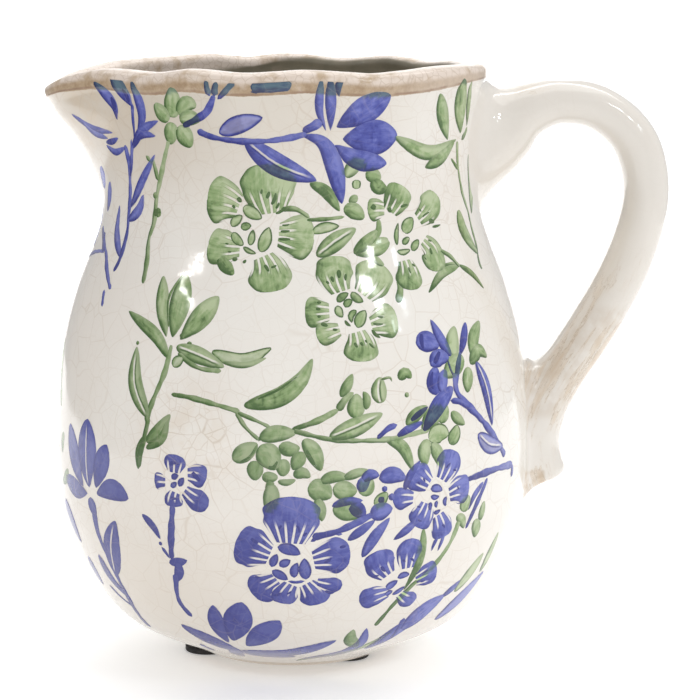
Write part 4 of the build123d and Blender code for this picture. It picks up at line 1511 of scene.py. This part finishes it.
    stem(1.5, (-35.3, 37.4), (-35.2, 31), (-34, 27), (-31.2, 23.4)),
    leaf(2, (-45, 55.6), (-42, 52.6), (-40, 49.2), tone=-0.6),
    bead(1.4, -39.8, 47.4, tone=-1),
    stem(0.8, (-39.2, 46), (-38.2, 44.6), (-37.2, 43.2)),
    # Lily at the foot and the long leaves beside it
    lily(5, (-20, 14.5), (-23, 20.4), (-24.2, 27.8)),
    lily(8.8, (-18.4, 15.6), (-17, 22.6), (-15.6, 29.6)),
    lily(8, (-14, 13.5), (-9.5, 18), (-4.5, 23.5)),
    leaf(6, (-17, 10), (-24, 13.5), (-34, 19)),
    stem(1.6, (-25, 8), (-27, 9.5), (-28.5, 11)),
    leaf(6.5, (-16, 10), (-2, 10), (12.5, 15.5)),
    leaf(4.5, (-15, 9), (-8, 8), (0, 7.5)),
    leaf(4, (-18, 11), (-17.5, 8), (-16, 6)),
    leaf(5, (3, 5.5), (14, 8.5), (20, 13), (22, 19)),
    leaf(5.5, (22, 10), (32, 17), (41, 22.5)),
    leaf(7, (33, 17), (40, 23), (46, 27), tone=1),
    leaf(2.6, (46, 27), (49, 29), (51, 31)),
    stem(1.6, (30, 14), (32, 17.5), (33.5, 21)),
    leaf(6, (44, 18), (52, 24), (59, 31), tone=1),
    # Lily at the left and its long stem
    lily(7.5, (-64.6, 60.6), (-67.3, 68), (-68.8, 77.8)),
    lily(11, (-62.4, 61), (-63.1, 70), (-62.6, 81.2), rib=True),
    lily(7.2, (-60, 61.5), (-58.5, 68), (-56.4, 74.8)),
    lily(6.4, (-59.4, 59.4), (-54.6, 61.8), (-50, 60.2)),
    lily(6.4, (-63.6, 58.4), (-67.4, 58.6), (-70.3, 60.2)),
    leaf(4, (-62, 57), (-61.5, 54.5), (-60.5, 52)),
    stem(2, (-61, 53), (-59.5, 45), (-56, 37), (-52, 27), (-49, 20.5), (-45, 14.5)),
    leaf(7.5, (-54.5, 33.5), (-55.5, 42), (-54, 51.5), rib=True),
    leaf(3.6, (-60, 38), (-56.5, 31), (-52, 26)),
    stem(0.9, (-57, 27), (-53.5, 24), (-50, 22)),
    leaf(5, (-71.5, 52), (-69.5, 47), (-66.5, 40), tone=1),
    leaf(4, (-64, 35), (-62, 30), (-60, 26), tone=1),
]


# ---------------------------------------------------------------- the set

# How far the two colours lie above the skin, in mm
GREEN_LIFT, BLUE_LIFT = 0.035, 0.110

# Distance in front of the axis and height above the foot in metres, tilt and turn in degrees, lens in mm
CAMERA_AWAY, CAMERA_UP = 0.810, 0.2253
CAMERA_TILT, CAMERA_TURN = 80.925, -1.3
CAMERA_LENS = 131.4

# The sheet of floor: half-width, where it starts to rise, the radius of the bend, in metres
FLOOR_HALF, FLOOR_END, FLOOR_BEND = 0.56, 1.2, 1.0


def aim(item, target):
    way = Vector(target) - item.location
    item.rotation_euler = way.to_track_quat("-Z", "Y").to_euler()


def soft_light(name, place_m, target, width, height, watts, colour=(1, 1, 1)):
    data = bpy.data.lights.new(name, "AREA")
    data.shape = "RECTANGLE"
    data.size = width
    data.size_y = height
    data.energy = watts
    data.color = colour
    light = bpy.data.objects.new(name, data)
    light.location = place_m
    bpy.context.scene.collection.objects.link(light)
    aim(light, target)
    return light


def build_floor(material):
    """A pale sheet that lies flat under the pitcher and sweeps up far behind it."""
    line = [(-2.0, 0.0), (-0.8, 0.0), (-0.2, 0.0), (0.4, 0.0), (FLOOR_END, 0.0)]
    for turn in np.radians(np.arange(6, 91, 6)):
        line.append((FLOOR_END + FLOOR_BEND * sin(turn), FLOOR_BEND * (1 - cos(turn))))
    line.append((FLOOR_END + FLOOR_BEND, 2.6))
    points = [(x, y, z) for y, z in line for x in (-FLOOR_HALF, FLOOR_HALF)]
    faces = [(2 * i, 2 * i + 1, 2 * i + 3, 2 * i + 2) for i in range(len(line) - 1)]
    return new_piece("floor_sweep", points, faces, material)


def build_pitcher():
    vessel = build_vessel(vessel_material())
    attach(vessel, "root")
    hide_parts("body")

    handle = build_handle(handle_material())
    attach(handle, "root")
    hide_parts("handle")

    rubber = pad_material()
    for name in ("pad_spout_side", "pad_handle_front", "pad_handle_rear"):
        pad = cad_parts[name]
        pad.data.materials.clear()
        pad.data.materials.append(rubber)

    green, blue = ink_material("green_print", *GREEN_INK), ink_material("blue_print", *BLUE_INK)
    for side in ("front", "back"):
        back = side == "back"
        greens = [stroke for stroke in GREEN if not back or stroke.clear_of_handle()]
        blues = [stroke for stroke in BLUE if not back or stroke.clear_of_handle()]
        for piece in (
            print_piece(f"print_green_{side}", greens, green, GREEN_LIFT, [], back),
            print_piece(f"print_blue_{side}", blues, blue, BLUE_LIFT, greens, back),
        ):
            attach(piece, "root")


def light_the_sky():
    """Even daylight that is stronger from the right and the front than from the left and behind."""
    world = bpy.data.worlds.new("studio")
    bpy.context.scene.world = world
    world.use_nodes = True
    sky = world.node_tree
    around = sky.nodes.new("ShaderNodeTexCoord")
    lean = sky.nodes.new("ShaderNodeVectorMath")
    lean.operation = "DOT_PRODUCT"
    lean.inputs[1].default_value = (0.80, -0.55, 0.25)
    sky.links.new(around.outputs["Generated"], lean.inputs[0])
    glow = sky.nodes.new("ShaderNodeMapRange")
    for index, value in enumerate((-0.9, 0.9, 0.47, 0.86), 1):
        glow.inputs[index].default_value = value
    sky.links.new(lean.outputs["Value"], glow.inputs[0])
    sky.nodes["Background"].inputs["Color"].default_value = (0.99, 0.985, 0.98, 1.0)
    sky.links.new(glow.outputs[0], sky.nodes["Background"].inputs["Strength"])


def place_lights():
    # Panes of a window at each side, seen as small broken highlights in the glaze
    left, right = (AXIS_X - 0.030, -0.055, 0.130), (AXIS_X + 0.026, -0.060, 0.122)
    warm, cool, cold = (1.0, 0.98, 0.96), (0.85, 0.95, 1.0), (0.80, 0.93, 1.0)
    soft_light("pane_left_middle", (-1.183, -0.712, 0.815), left, 0.09, 0.05, 0.65, warm)
    soft_light("pane_left_high", (-1.199, -0.557, 0.861), left, 0.13, 0.035, 0.55, warm)
    soft_light("pane_right_high", (0.850, -0.888, 0.955), right, 0.16, 0.06, 0.95)
    soft_light("pane_right_low", (0.976, -0.904, 0.793), right, 0.11, 0.09, 0.95)
    soft_light("pane_right_side", (1.182, -0.626, 0.768), right, 0.04, 0.06, 0.24, cold)
    soft_light("pane_right_thin", (1.107, -0.836, 0.662), right, 0.03, 0.09, 0.20, cool)
    soft_light("ceiling", (0.1, 0.2, 1.6), (AXIS_X, 0, 0.10), 1.6, 1.4, 8)
    soft_light("backdrop_light", (0.0, 0.7, 1.5), (0.0, 2.1, 0.25), 2.4, 0.6, 24)


def place_camera():
    scene = bpy.context.scene
    data = bpy.data.cameras.new("camera")
    data.lens = CAMERA_LENS
    data.sensor_width = 36
    camera = bpy.data.objects.new("camera", data)
    camera.location = (AXIS_X, -CAMERA_AWAY, FOOT_Z + CAMERA_UP)
    camera.rotation_euler = (radians(CAMERA_TILT), 0, radians(CAMERA_TURN))
    scene.collection.objects.link(camera)
    scene.camera = camera
    scene.view_settings.view_transform = "Standard"


build_pitcher()
build_floor(floor_material())
light_the_sky()
place_lights()
place_camera()
